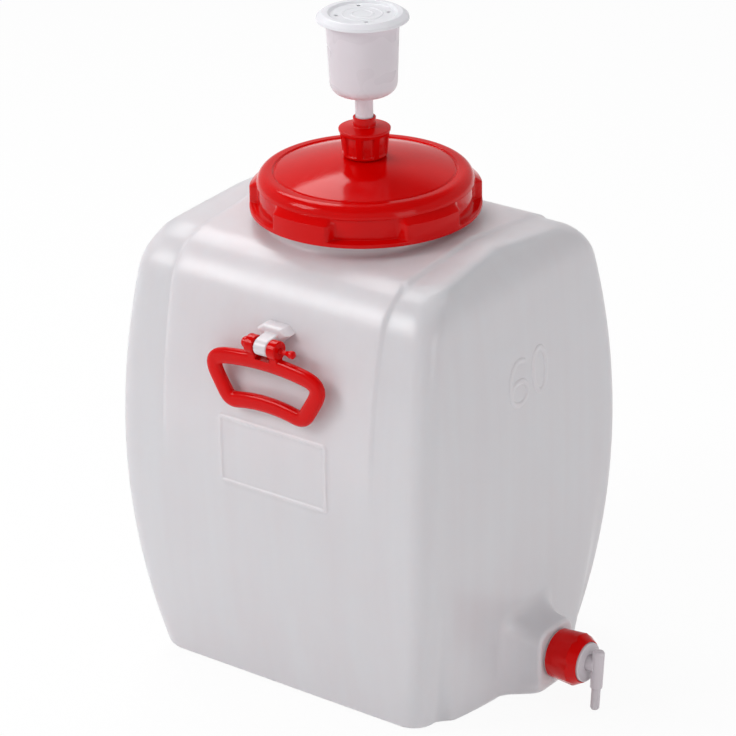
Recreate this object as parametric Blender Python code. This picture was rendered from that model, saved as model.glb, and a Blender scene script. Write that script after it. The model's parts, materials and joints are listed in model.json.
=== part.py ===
"""A sixty litre beverage barrel with screw lid, airlock, two carrying handles and a draining tap.

Metres, +Z up. The origin is the centre of the base. +X points out of the tap, and the
handles hang on the two broad faces, at -Y (front) and +Y (rear).
"""
import math

import bmesh
import bpy
from mathutils import Matrix, Vector

# Clearances shared by all pieces
GAP = 0.0003
OVERRUN = 0.004

# Barrel: half lengths along X at the foot of the corners, the belly and the start of the end shoulder
FOOT_HALF_LENGTH = 0.174
BELLY_HALF_LENGTH = 0.203
BELLY_HEIGHT = 0.250
END_SHOULDER_HALF_LENGTH = 0.1936

# The end shoulder's arc starts below the deck's crown, and would crest above it
END_SHOULDER_DROP = 0.0507
END_SHOULDER_CREST = 0.0177

# Each end face keeps a bowed panel between its corners, whose foot stands further out than theirs
END_PANEL_FOOT_MIDDLE = 0.201
END_PANEL_FOOT_SIDE = 0.187
END_PANEL_SHARE = 0.9

# Barrel: half widths along Y at the foot, belly and face shoulder, and the arched deck above them
FOOT_HALF_WIDTH = 0.155
BELLY_HALF_WIDTH = 0.181
FACE_SHOULDER_HALF_WIDTH = 0.1573
FACE_SHOULDER_HEIGHT = 0.441
FACE_SHOULDER_RADIUS = 0.0616
DECK_EDGE_ANGLE = math.radians(70.6)
DECK_SLOPE = math.radians(5.3)
CORNER_RADIUS = 0.0246
FOOT_EDGE_RADIUS = 0.008
WALL = 0.0032

# Raised middle panel that runs up each broad face and over the deck, and fades in round the belly
PANEL_MARGIN = 0.0164
PANEL_RUN = 0.007
PANEL_RAISE = 0.0025
PANEL_FADE_BELOW = 0.015
PANEL_FADE_ABOVE = 0.080

# Place along X of the handle and the label frame on each broad face
FEATURE_PLACE = 0.0095

# Raised frame of the bare label place on the front face, below the hanging handle
LABEL_LENGTH = 0.139
LABEL_HEIGHT = 0.076
LABEL_DROP = 0.0168
LABEL_LINE = 0.0032
LABEL_EDGE = 0.0012
LABEL_RAISE = 0.0013

# Neck on the deck
NECK_RADIUS = 0.1045
NECK_WALL = 0.0035
NECK_RISE = 0.0434

# Screw lid: a skirt that stands off the neck, grip blocks over a flange, and a domed top with a groove
LID_SKIRT_PLAY = 0.0043
LID_SKIRT_DROP = 0.0349
LID_FLANGE_WIDTH = 0.0127
LID_FLANGE_HEIGHT = 0.0045
LID_BLOCK_BEVEL = 0.0063
LID_RIM_INSET = 0.0080
LID_SHOULDER_HEIGHT = 0.0127
LID_CREST_INSET = 0.0195
LID_GROOVE_INSET = 0.0068
LID_GROOVE_WIDTH = 0.004
LID_GROOVE_DEPTH = 0.0016
LID_DOME_RISE = 0.0155
LID_THICKNESS = 0.0032
LID_LIP_PLAY = 0.0025
LID_LIP_WALL = 0.0020
LID_LIP_HEIGHT = 0.0110
LID_POCKET_WALL = 0.0034
LID_POCKET_COUNT = 5
LID_POCKET_ANGLE = math.radians(32.0)
LID_POCKET_DRAFT = math.radians(4.5)
LID_POCKET_START = math.radians(-53.0)

# Spout in the middle of the lid, round the airlock's stem
SPOUT_PLAY = 0.0015
SPOUT_WALL = 0.0052
SPOUT_RISE = 0.0185

# Lid seal between the lid's inner lip and its skirt
LID_SEAL_PLAY = 0.0005
LID_SEAL_SETBACK = 0.0018
LID_SEAL_HEIGHT = 0.0022

# Airlock seal and screw cap
AIRLOCK_SEAL_HEIGHT = 0.0057
STEM_RADIUS = 0.0093
STEM_WALL = 0.0018
CAP_PLAY = 0.0018
CAP_WALL = 0.0056
CAP_FLARE = 0.0030
CAP_LIP_REACH = 0.0008
CAP_CLEARANCE = 0.0010
CAP_PLATE = 0.0054
CAP_LIP = 0.0026
CAP_CROWN = 0.0022
CAP_COLLAR_WALL = 0.0021
CAP_COLLAR_HEIGHT = 0.0100
CAP_POCKET_COUNT = 8
CAP_POCKET_DEPTH = 0.0016
CAP_POCKET_ANGLE = math.radians(24.0)
CAP_POCKET_DRAFT = math.radians(4.0)

# Airlock cup, its inner tube, the bell over the tube and the cover
STEM_INSERT = 0.0275
CUP_STANDOFF = 0.0256
CUP_LOW_RADIUS = 0.0352
CUP_FLARE = 0.0028
CUP_EDGE_RADIUS = 0.0130
CUP_WALL = 0.0015
CUP_FLOOR = 0.0020
CUP_HEADROOM = 0.0250
TUBE_WALL = 0.0013
TUBE_HEIGHT = 0.0445
BELL_PLAY = 0.0004
BELL_HEADROOM = 0.0105
BELL_WALL = 0.0013
BELL_NOTCH_HEIGHT = 0.0050
BELL_NOTCH_WIDTH = 0.0060
COVER_OVERHANG = 0.0103
COVER_THICKNESS = 0.0018
COVER_RIM_RISE = 0.0050
COVER_DROOP = 0.0022
COVER_DISH_INSET = 0.0015
COVER_DISH_RISE = 0.0025
COVER_SKIRT_DEPTH = 0.0070
COVER_SKIRT_WALL = 0.0014
COVER_HOLE_RADIUS = 0.0022
COVER_HOLE_INSET = 0.0060
COVER_HOLE_COUNT = 4

# Handle lug on the barrel, pin and carrying handle
PIN_DROP = 0.0260
PIN_RADIUS = 0.0032
PIN_PLAY = 0.0004
PIN_HEAD_RADIUS = 0.0058
PIN_HEAD_LENGTH = 0.0070
PIN_HEAD_CROWN_SHARE = 0.8
PIN_NECK_RADIUS = 0.0024
PIN_BULB_RADIUS = 0.0042
PIN_TIP_LENGTH = 0.0185
PIN_TIP_SHARES = (0.12, 0.45, 0.72, 0.90)
TONGUE_HALF_WIDTH = 0.0080
TONGUE_WALL = 0.0056
TONGUE_UNDER_ANGLE = math.radians(108.0)
TONGUE_OVER_ANGLE = math.radians(76.0)
LUG_TOP_HALF_WIDTH = 0.0125
LUG_HALF_WIDTH = 0.0215
LUG_CLEARANCE = 0.0010
LUG_SINK = 0.0093
LUG_BEVEL = 0.0040
LUG_PEAK = 0.0180
LUG_SIDE = 0.0115
LUG_FOOT = 0.0010
EYE_WALL = 0.0069
EYE_WIDTH = 0.0110
EYE_PLAY = 0.0008
EYE_CLEARANCE = 0.0030
HANDLE_CLEARANCE = 0.0038
HANDLE_TOP_DROP = 0.0175
HANDLE_TOP_HALF = 0.0735
HANDLE_TOP_SAG = 0.0090
HANDLE_TOP_CORNER = 0.0200
HANDLE_BOTTOM_DROP = 0.0640
HANDLE_BOTTOM_HALF = 0.0475
HANDLE_BOTTOM_SAG = 0.0065
HANDLE_BOTTOM_CORNER = 0.0100
HANDLE_SADDLE_PLAY = 0.0054
HANDLE_BAR_WIDTH = 0.0175
HANDLE_BAR_THICKNESS = 0.0110
HANDLE_BAR_ROUND_SHARE = 0.8

# Tap: boss on the barrel, spigot, union nut, body and turning spout
TAP_HEIGHT = 0.0510
BOSS_LENGTH = 0.0393
BOSS_SINK = 0.0037
BOSS_STATION_SHARES = (-0.5, 0.0, 0.12, 0.26, 0.42, 0.6, 0.8)
BOSS_EDGE = 0.0040
BOSS_SIDE = 0.0047
BOSS_OVER = 0.0052
BOSS_FLARE = 0.0185
BOSS_RISE = 0.0180
BOSS_LOW = 0.0015
BOSS_HEEL_LENGTH = 0.0340
BOSS_HEEL_HEIGHT = 0.0185
BOSS_CORNER_RADIUS = 0.0160
SPIGOT_RADIUS = 0.0240
SPIGOT_WALL = 0.0060
SPIGOT_LENGTH = 0.0250
TAP_SEAL_PLAY = 0.0020
TAP_SEAL_THICKNESS = 0.0020
NUT_PLAY = 0.0006
NUT_WALL = 0.0022
NUT_FLARE = 0.0020
NUT_REAR_GAP = 0.0022
NUT_REAR_BEVEL = 0.0010
NUT_CHAMFER_LENGTH = 0.0096
NUT_NOSE_WALL = 0.0011
NUT_LIP = 0.0066
NUT_LIP_PLAY = 0.0004
NUT_HOLLOW_COUNT = 6
NUT_HOLLOW_RADIUS = 0.0600
NUT_HOLLOW_DEPTH = 0.0013
NUT_HOLLOW_START = math.radians(17.0)
NUT_HOLLOW_REACH = math.radians(14.0)
TAP_FLANGE_THICKNESS = 0.0040
TAP_DRUM_STEP = 0.0025
TAP_DRUM_PROUD = 0.0025
TAP_TUBE_WALL = 0.0045
TAP_TUBE_LENGTH = 0.0260
TAP_TUBE_END = 0.0040
PLUG_RADIUS = 0.0082
PORT_RADIUS = 0.0032
PORT_SETBACK = 0.0085
PLUG_BORE = 0.0046
O_RING_THICKNESS = 0.0017
O_RING_SETBACK = 0.0040
NOZZLE_BORE = 0.0034
NOZZLE_WALL = 0.0015
NOZZLE_STEP = 0.0017
NOZZLE_CLEARANCE = 0.0012
NOZZLE_TIP_SHARE = 0.75
ARM_STANDOFF = 0.0044
ARM_TOP = 0.0175
ARM_BOTTOM = 0.0253
ARM_CROWN_SHARES = ((1.0, 0.5), (0.8, 0.15), (0.4, 0.0))
ARM_TURN = math.radians(-6.0)

# Numbers of facets round turned pieces, and of steps over the barrel's outer and inner form
LID_FACET_COUNT = 50
FACET_COUNT = 40
CUP_FACET_COUNT = 26
SMALL_FACET_COUNT = 20
TINY_FACET_COUNT = 12
OUTER_STEP_COUNT = {"wall": 8, "shoulder": 6, "corner": 5, "foot": 3}
INNER_STEP_COUNT = {"wall": 6, "shoulder": 4, "corner": 3, "foot": 2}

RED_COLOUR = (0.74, 0.004, 0.006)
MILK_COLOUR = (0.80, 0.77, 0.78)
CLEAR_COLOUR = (0.78, 0.76, 0.80)
RUBBER_COLOUR = (0.72, 0.70, 0.66)


def clear_scene():
    for item in list(bpy.data.objects):
        bpy.data.objects.remove(item, do_unlink=True)


def make_material(name, colour, roughness, alpha=1.0):
    material = bpy.data.materials.new(name)
    material.use_nodes = True
    shader = material.node_tree.nodes["Principled BSDF"]
    shader.inputs["Base Color"].default_value = (*colour, 1.0)
    shader.inputs["Roughness"].default_value = roughness
    shader.inputs["Metallic"].default_value = 0.0
    shader.inputs["Alpha"].default_value = alpha
    return material


def finish_mesh(name, mesh_bm, material=None, crease=math.radians(35.0)):
    """Closes a bmesh into a named object, faces out, shaded smooth except at sharp edges."""
    bmesh.ops.recalc_face_normals(mesh_bm, faces=mesh_bm.faces)
    mesh = bpy.data.meshes.new(name)
    mesh_bm.to_mesh(mesh)
    mesh_bm.free()
    mesh.shade_smooth()
    mesh.set_sharp_from_angle(angle=crease)
    item = bpy.data.objects.new(name, mesh)
    bpy.context.scene.collection.objects.link(item)
    if material:
        mesh.materials.append(material)
    return item


def skin(mesh_bm, rings, closed):
    """Joins neighbouring rings of equally many points with quads; closed joins last to first."""
    rows = [[mesh_bm.verts.new(point) for point in ring] for ring in rings]
    pairs = list(zip(rows, rows[1:]))
    if closed:
        pairs.append((rows[-1], rows[0]))
    for lower, upper in pairs:
        count = len(lower)
        for index in range(count):
            after = (index + 1) % count
            mesh_bm.faces.new((lower[index], lower[after], upper[after], upper[index]))
    return rows


def loft(name, rings, material=None):
    """A solid through the rings, with a flat face over each end."""
    mesh_bm = bmesh.new()
    rows = skin(mesh_bm, rings, closed=False)
    mesh_bm.faces.new(rows[0])
    mesh_bm.faces.new(rows[-1])
    return finish_mesh(name, mesh_bm, material)


def revolve(name, outline, material=None, facets=FACET_COUNT):
    """Turns a closed outline of (radius, height) points about Z; points on the axis become poles."""
    mesh_bm = bmesh.new()
    rows = []
    for radius, height in outline:
        if radius == 0:
            rows.append([mesh_bm.verts.new((0, 0, height))] * facets)
            continue
        row = []
        for index in range(facets):
            angle = math.tau * index / facets
            row.append(mesh_bm.verts.new((radius * math.cos(angle), radius * math.sin(angle), height)))
        rows.append(row)
    for lower, upper in zip(rows, rows[1:] + rows[:1]):
        for index in range(facets):
            after = (index + 1) % facets
            corners = [lower[index], lower[after], upper[after], upper[index]]
            unique = list(dict.fromkeys(corners))
            if len(unique) > 2:
                mesh_bm.faces.new(unique)
    return finish_mesh(name, mesh_bm, material)


def cylinder(name, radius, low, high, facets=SMALL_FACET_COUNT, material=None):
    return revolve(name, [(0, low), (radius, low), (radius, high), (0, high)], material, facets)


def extrude_outline(name, outline, low, high, axis, material=None):
    """A prism whose flat outline stands square to X or Y."""
    if axis == "X":
        rings = [[(place, u, v) for u, v in outline] for place in (low, high)]
    else:
        rings = [[(u, place, v) for u, v in outline] for place in (low, high)]
    return loft(name, rings, material)


def turn_to_x(item, height):
    """Stands a piece that was turned about Z on the tap's axis."""
    item.rotation_euler = (0, math.pi / 2, 0)
    item.location = (0, 0, height)


def turn_about_tap(item, angle):
    """Turns a placed piece about the tap's axis."""
    axis = Matrix.Translation((0, 0, TAP_HEIGHT))
    item.matrix_basis = axis @ Matrix.Rotation(angle, 4, "X") @ axis.inverted() @ item.matrix_basis


def combine(target, tool, operation):
    """Adds an exact Boolean whose tool stays in the file as a hidden guide."""
    modifier = target.modifiers.new(operation.lower() + "_" + tool.name, "BOOLEAN")
    modifier.object = tool
    modifier.operation = operation
    modifier.solver = "EXACT"
    tool.hide_render = True
    tool.display_type = "WIRE"
    return modifier


def join(target, *tools):
    for tool in tools:
        combine(target, tool, "UNION")


def cut(target, *tools):
    for tool in tools:
        combine(target, tool, "DIFFERENCE")


def arc(centre, radius, start, end, steps):
    """Points of an arc in a plane, both ends included."""
    points = []
    for step in range(steps + 1):
        angle = start + (end - start) * step / steps
        points.append((centre[0] + radius * math.cos(angle), centre[1] + radius * math.sin(angle)))
    return points


def rounded_rectangle(half_width, low, high, radius, steps):
    """Outline of (across, height) points, anticlockwise from the lower right corner."""
    outline = []
    corners = ((half_width - radius, low + radius, -math.pi / 2), (half_width - radius, high - radius, 0),
               (radius - half_width, high - radius, math.pi / 2), (radius - half_width, low + radius, math.pi))
    for across, height, start in corners:
        outline += arc((across, height), radius, start, start + math.pi / 2, steps)
    return outline


# Barrel shell

def swell(height, foot, belly, shoulder, shoulder_height):
    """Half size of a wall that swells from the foot to the belly and draws in to the shoulder."""
    if height < BELLY_HEIGHT:
        share = (BELLY_HEIGHT - height) / BELLY_HEIGHT
        return belly - (belly - foot) * share ** 2
    share = (height - BELLY_HEIGHT) / (shoulder_height - BELLY_HEIGHT)
    return belly - (belly - shoulder) * share ** 2


def shoulder_lean(belly, shoulder, shoulder_height):
    """Angle by which a wall leans in where its shoulder starts."""
    return math.atan(2 * (belly - shoulder) / (shoulder_height - BELLY_HEIGHT))


def shoulder_centre(shoulder, shoulder_height, radius, lean):
    """Centre of the arc that carries a wall over into the deck."""
    return shoulder - radius * math.cos(lean), shoulder_height - radius * math.sin(lean)


FACE_LEAN = shoulder_lean(BELLY_HALF_WIDTH, FACE_SHOULDER_HALF_WIDTH, FACE_SHOULDER_HEIGHT)
FACE_CENTRE = shoulder_centre(FACE_SHOULDER_HALF_WIDTH, FACE_SHOULDER_HEIGHT, FACE_SHOULDER_RADIUS, FACE_LEAN)


def half_length(height, foot):
    """Half length along X at a height, for the stretch of end wall that has this foot."""
    if height <= END_SHOULDER_HEIGHT:
        return swell(height, foot, BELLY_HALF_LENGTH,
                     END_SHOULDER_HALF_LENGTH, END_SHOULDER_HEIGHT)
    rise = height - END_CENTRE[1]
    return END_CENTRE[0] + math.sqrt(END_SHOULDER_RADIUS ** 2 - rise ** 2)


def half_width(height):
    """Half width of the barrel along Y at a height below the deck."""
    if height <= FACE_SHOULDER_HEIGHT:
        return swell(height, FOOT_HALF_WIDTH, BELLY_HALF_WIDTH,
                     FACE_SHOULDER_HALF_WIDTH, FACE_SHOULDER_HEIGHT)
    rise = height - FACE_CENTRE[1]
    return FACE_CENTRE[0] + math.sqrt(FACE_SHOULDER_RADIUS ** 2 - rise ** 2)


def deck_height(across):
    """Height of the arched deck at a distance from the middle plane."""
    across = abs(across)
    flat_edge = FACE_CENTRE[0] + FACE_SHOULDER_RADIUS * math.sin(DECK_SLOPE)
    if across > flat_edge:
        reach = min(across - FACE_CENTRE[0], FACE_SHOULDER_RADIUS)
        return FACE_CENTRE[1] + math.sqrt(FACE_SHOULDER_RADIUS ** 2 - reach ** 2)
    flat_height = FACE_CENTRE[1] + FACE_SHOULDER_RADIUS * math.cos(DECK_SLOPE)
    return flat_height + (flat_edge - across) * math.tan(DECK_SLOPE)


# The end shoulder follows the deck's crown
END_SHOULDER_HEIGHT = deck_height(0) - END_SHOULDER_DROP
END_LEAN = shoulder_lean(BELLY_HALF_LENGTH, END_SHOULDER_HALF_LENGTH, END_SHOULDER_HEIGHT)
END_SHOULDER_RADIUS = (END_SHOULDER_DROP + END_SHOULDER_CREST) / (1 - math.sin(END_LEAN))
END_CENTRE = shoulder_centre(END_SHOULDER_HALF_LENGTH, END_SHOULDER_HEIGHT, END_SHOULDER_RADIUS, END_LEAN)
DECK_EDGE_HEIGHT = FACE_CENTRE[1] + FACE_SHOULDER_RADIUS * math.sin(DECK_EDGE_ANGLE)
PANEL_HALF_LENGTH = half_length(DECK_EDGE_HEIGHT, FOOT_HALF_LENGTH) - CORNER_RADIUS - PANEL_MARGIN - PANEL_RUN
PANEL_FADE_LOW = BELLY_HEIGHT - PANEL_FADE_BELOW
PANEL_FADE_HIGH = BELLY_HEIGHT + PANEL_FADE_ABOVE

# Handles: eyes and tongue round the pin, and the pin far enough out for bar and eyes to clear the panel
PIN_HEIGHT = FACE_SHOULDER_HEIGHT - PIN_DROP
PIN_HOLE_RADIUS = PIN_RADIUS + PIN_PLAY
TONGUE_RADIUS = PIN_HOLE_RADIUS + TONGUE_WALL
EYE_RADIUS = PIN_HOLE_RADIUS + EYE_WALL
HANDLE_SADDLE_RADIUS = TONGUE_RADIUS + HANDLE_SADDLE_PLAY
HANDLE_LOW = PIN_HEIGHT - HANDLE_BOTTOM_DROP - HANDLE_BOTTOM_SAG - HANDLE_BAR_WIDTH / 2
PIN_OUT = PANEL_RAISE + max(half_width(HANDLE_LOW) + HANDLE_BAR_THICKNESS / 2 + HANDLE_CLEARANCE,
                            half_width(PIN_HEIGHT) + EYE_RADIUS + EYE_CLEARANCE)
LUG_FRONT = PIN_OUT - EYE_RADIUS - LUG_CLEARANCE
LUG_ROOT = half_width(PIN_HEIGHT) - LUG_SINK
LABEL_HIGH = HANDLE_LOW - LABEL_DROP
LABEL_LOW = LABEL_HIGH - LABEL_HEIGHT

# Lid and seal: sizes from the neck outwards and upwards
NECK_TOP = deck_height(0) + NECK_RISE
LID_BOTTOM = NECK_TOP - LID_SKIRT_DROP
LID_SEAT = NECK_TOP + GAP + LID_SEAL_HEIGHT + GAP
LID_CREST = LID_SEAT + LID_THICKNESS
LID_RIM = LID_CREST - LID_SHOULDER_HEIGHT
LID_SKIRT_BORE = NECK_RADIUS + LID_SKIRT_PLAY
LID_RADIUS = LID_SKIRT_BORE + LID_FLANGE_WIDTH
LID_RIM_RADIUS = LID_RADIUS - LID_RIM_INSET
LID_CREST_RADIUS = LID_RADIUS - LID_CREST_INSET
LID_GROOVE_RADIUS = LID_CREST_RADIUS - LID_GROOVE_INSET
LID_POCKET_RADIUS = LID_SKIRT_BORE + LID_POCKET_WALL
LID_LIP_RADIUS = NECK_RADIUS - NECK_WALL - LID_LIP_PLAY

# Airlock: sizes from the stem outwards, heights from the lid upwards
SPOUT_BORE = STEM_RADIUS + SPOUT_PLAY
SPOUT_RADIUS = SPOUT_BORE + SPOUT_WALL
SPOUT_TOP = LID_CREST + LID_DOME_RISE + SPOUT_RISE
CAP_BORE = SPOUT_RADIUS + CAP_PLAY
CAP_LOWER_RADIUS = CAP_BORE + CAP_WALL
CAP_UPPER_RADIUS = CAP_LOWER_RADIUS + CAP_FLARE
CAP_TOP_RADIUS = CAP_UPPER_RADIUS + CAP_LIP_REACH
CAP_UNDER = SPOUT_TOP + GAP + AIRLOCK_SEAL_HEIGHT + GAP
CAP_COLLAR_TOP = CAP_UNDER + CAP_PLATE + CAP_CROWN + CAP_COLLAR_HEIGHT
STEM_BORE = STEM_RADIUS - STEM_WALL
STEM_BOTTOM = SPOUT_TOP - STEM_INSERT
CUP_BOTTOM = CAP_COLLAR_TOP + CUP_STANDOFF
CUP_RIM_RADIUS = CUP_LOW_RADIUS + CUP_FLARE
BELL_RADIUS = CUP_LOW_RADIUS - CUP_EDGE_RADIUS - BELL_PLAY
BELL_HEIGHT = TUBE_HEIGHT + BELL_HEADROOM
CUP_RIM_HEIGHT = CUP_FLOOR + BELL_HEIGHT + CUP_HEADROOM

# Tap: sizes from the plug and the spigot outwards, places from the boss's face along X
BOSS_WALL_PLACE = half_length(TAP_HEIGHT, END_PANEL_FOOT_MIDDLE)
BOSS_FACE = BOSS_WALL_PLACE + BOSS_LENGTH
BOSS_ROOT = BOSS_WALL_PLACE - BOSS_SINK
SPIGOT_END = BOSS_FACE + SPIGOT_LENGTH
TAP_SEAL_FRONT = SPIGOT_END + GAP + TAP_SEAL_THICKNESS
FLANGE_REAR = TAP_SEAL_FRONT + GAP
FLANGE_FRONT = FLANGE_REAR + TAP_FLANGE_THICKNESS
NUT_FRONT = FLANGE_FRONT + GAP + NUT_LIP
TAP_DRUM_FRONT = NUT_FRONT + TAP_DRUM_PROUD
TAP_DRUM_RADIUS = SPIGOT_RADIUS - TAP_DRUM_STEP
NUT_BORE = SPIGOT_RADIUS + NUT_PLAY
NUT_REAR_RADIUS = NUT_BORE + NUT_WALL
NUT_RADIUS = NUT_REAR_RADIUS + NUT_FLARE
NUT_LIP_BORE = TAP_DRUM_RADIUS + NUT_LIP_PLAY
BOSS_FACE_HALF_WIDTH = NUT_REAR_RADIUS + BOSS_SIDE
BOSS_ROOT_HALF_WIDTH = BOSS_FACE_HALF_WIDTH + BOSS_FLARE
BOSS_FACE_TOP = TAP_HEIGHT + NUT_REAR_RADIUS + BOSS_OVER
BOSS_ROOT_TOP = BOSS_FACE_TOP + BOSS_RISE
TAP_TUBE_RADIUS = PLUG_RADIUS + GAP + TAP_TUBE_WALL
TUBE_REAR = FLANGE_REAR - TAP_TUBE_LENGTH
PLUG_REAR = TUBE_REAR + TAP_TUBE_END + GAP
PORT_PLACE = TUBE_REAR + TAP_TUBE_END + PORT_SETBACK
NOZZLE_RADIUS = NOZZLE_BORE + NOZZLE_WALL
NOZZLE_BOTTOM = TAP_HEIGHT - NOZZLE_CLEARANCE
ARM_RADIUS = NOZZLE_RADIUS + NOZZLE_STEP


def smooth_step(value, low, high):
    share = min(max((value - low) / (high - low), 0.0), 1.0)
    return share * share * (3 - 2 * share)


def end_panel_foot(share):
    """Foot of the bowed end panel at a share of the way from its middle to the corner."""
    bow = END_PANEL_FOOT_MIDDLE - END_PANEL_FOOT_SIDE
    return END_PANEL_FOOT_MIDDLE - bow * (share / END_PANEL_SHARE) ** 2


def panel_relief(along, height):
    """How far the middle panel stands proud at a place along X and a height."""
    side = 1 - min(max((abs(along) - PANEL_HALF_LENGTH) / PANEL_RUN, 0.0), 1.0)
    return PANEL_RAISE * side * smooth_step(height, PANEL_FADE_LOW, PANEL_FADE_HIGH)


def label_relief(along, height):
    """How far the frame round the bare label place stands proud."""
    inside = min(LABEL_LENGTH / 2 - abs(along - FEATURE_PLACE), height - LABEL_LOW, LABEL_HIGH - height)
    rise = min(max((inside + LABEL_EDGE) / LABEL_EDGE, 0.0), 1.0)
    fall = min(max((inside - LABEL_LINE) / LABEL_EDGE, 0.0), 1.0)
    return LABEL_RAISE * (rise - fall)


def label_stops(low, high):
    """Places at which the frame's line starts and ends, from its outer edge inwards."""
    inwards = (-LABEL_EDGE, 0, LABEL_LINE, LABEL_LINE + LABEL_EDGE)
    return [low + step for step in inwards] + [high - step for step in reversed(inwards)]


def foot_levels(bottom, inset, steps):
    """Rings of the rounded foot: height, half width, outward direction and how far they are tucked in."""
    edge = FOOT_EDGE_RADIUS - inset
    levels = []
    for step in range(steps):
        angle = math.pi / 2 * step / steps
        height = bottom + edge * (1 - math.cos(angle))
        tuck = edge * (1 - math.sin(angle))
        levels.append((height, half_width(height) - inset - tuck, (1.0, 0.0), tuck))
    return levels


def wall_levels(bottom, inset, steps, extra):
    """Rings from above the foot, up the broad faces and over their shoulders to the deck."""
    levels = []
    rise = (FACE_SHOULDER_HEIGHT - bottom) / steps["wall"]
    plain = [bottom + rise * step for step in range(steps["wall"] + 1)]
    for height in sorted(plain + extra):
        slope = (half_width(height + WALL) - half_width(height - WALL)) / (2 * WALL)
        length = math.hypot(1, slope)
        levels.append((height, half_width(height) - inset, (1 / length, -slope / length), 0.0))
    radius = FACE_SHOULDER_RADIUS - inset
    for step in range(1, steps["shoulder"] + 1):
        angle = FACE_LEAN + (DECK_EDGE_ANGLE - FACE_LEAN) * step / steps["shoulder"]
        out = (math.cos(angle), math.sin(angle))
        levels.append((FACE_CENTRE[1] + radius * out[1], FACE_CENTRE[0] + radius * out[0], out, 0.0))
    return levels


def shell_ring(level, last_height, inset, columns, row_shares, corner_steps, relief):
    """One ring of the shell, anticlockwise from the tap's end face."""
    height, width, out, tuck = level
    radius = CORNER_RADIUS - inset
    lift_share = smooth_step(height, FACE_SHOULDER_HEIGHT, last_height)
    ring = []

    def end_place(across, foot):
        raised = height + lift_share * max(deck_height(across) - inset - last_height, 0.0)
        return half_length(raised, foot) - inset - tuck, raised

    def end_side(sign, shares):
        for share in shares:
            across = share * (width - radius)
            length, raised = end_place(across, end_panel_foot(share))
            ring.append((sign * length, across, raised))

    def face_side(sign, along_list):
        for along in along_list:
            rise = panel_relief(along, height) if relief else 0.0
            if relief and sign < 0:
                rise += label_relief(along, height)
            ring.append((along, sign * (width + rise * out[0]), height + rise * out[1]))

    def corner(sign_x, sign_y, start):
        for step in range(corner_steps + 1):
            angle = start + math.pi / 2 * step / corner_steps
            across = sign_y * (width - radius) + radius * math.sin(angle)
            length, raised = end_place(across, FOOT_HALF_LENGTH)
            ring.append((sign_x * (length - radius) + radius * math.cos(angle), across, raised))

    end_side(1, row_shares)
    corner(1, 1, 0)
    face_side(1, columns[::-1])
    corner(-1, 1, math.pi / 2)
    end_side(-1, row_shares[::-1])
    corner(-1, -1, math.pi)
    face_side(-1, columns)
    corner(1, -1, -math.pi / 2)
    return ring


def shell_solid(name, inset, bottom, columns, steps, extra_levels, relief, material=None):
    """The barrel's closed outer or inner form.

    Rings of points climb the walls: along each broad face at fixed places in X, round the
    corners, and along each end face. Over the shoulder the end faces rise to the arched deck,
    which a grid of the same columns and rows closes.
    """
    row_shares = (-END_PANEL_SHARE, -END_PANEL_SHARE / 2, 0.0, END_PANEL_SHARE / 2, END_PANEL_SHARE)
    levels = foot_levels(bottom, inset, steps["foot"])
    levels += wall_levels(bottom + FOOT_EDGE_RADIUS - inset, inset, steps, extra_levels)
    last_height = levels[-1][0]
    rings = [shell_ring(level, last_height, inset, columns, row_shares, steps["corner"], relief)
             for level in levels]
    mesh_bm = bmesh.new()
    rows = skin(mesh_bm, rings, closed=False)
    mesh_bm.faces.new(rows[0])
    close_deck(mesh_bm, rows[-1], columns, row_shares, steps["corner"], CORNER_RADIUS - inset, inset, relief)
    return finish_mesh(name, mesh_bm, material)


def close_deck(mesh_bm, ring, columns, row_shares, corner_steps, radius, inset, relief):
    """Closes the top ring with a grid that follows the arched deck."""
    ends, sides, arcs = len(row_shares), len(columns), corner_steps + 1
    starts = {}
    place = 0
    order = (("right", ends), ("ne", arcs), ("back", sides), ("nw", arcs),
             ("left", ends), ("sw", arcs), ("front", sides), ("se", arcs))
    for key, count in order:
        starts[key] = ring[place:place + count]
        place += count
    right, left = starts["right"], starts["left"][::-1]
    back, front = starts["back"][::-1], starts["front"]
    width = abs(front[0].co.y) - radius
    inner_x = abs(starts["se"][-1].co.x) - radius
    xs = [-inner_x] + columns + [inner_x]
    ys = [-width] + [vert.co.y for vert in right] + [width]
    grid = []
    for across in ys:
        row = []
        for along in xs:
            rise = panel_relief(along, deck_height(across)) if relief else 0.0
            row.append(mesh_bm.verts.new((along, across, deck_height(across) - inset + rise)))
        grid.append(row)
    for lower, upper in zip(grid, grid[1:]):
        for index in range(len(xs) - 1):
            mesh_bm.faces.new((lower[index], lower[index + 1], upper[index + 1], upper[index]))
    front_edge = [starts["sw"][-1]] + front + [starts["se"][0]]
    back_edge = [starts["nw"][0]] + back + [starts["ne"][-1]]
    right_edge = [starts["se"][-1]] + right + [starts["ne"][0]]
    left_edge = [starts["sw"][0]] + left + [starts["nw"][-1]]
    strips = ((front_edge, grid[0]), (back_edge, grid[-1]),
              (right_edge, [row[-1] for row in grid]), (left_edge, [row[0] for row in grid]))
    for outer, inner in strips:
        for index in range(len(outer) - 1):
            mesh_bm.faces.new((outer[index], outer[index + 1], inner[index + 1], inner[index]))
    hubs = (("ne", grid[-1][-1]), ("nw", grid[-1][0]), ("sw", grid[0][0]), ("se", grid[0][-1]))
    for key, hub in hubs:
        points = starts[key]
        for index in range(len(points) - 1):
            mesh_bm.faces.new((points[index], points[index + 1], hub))


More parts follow.
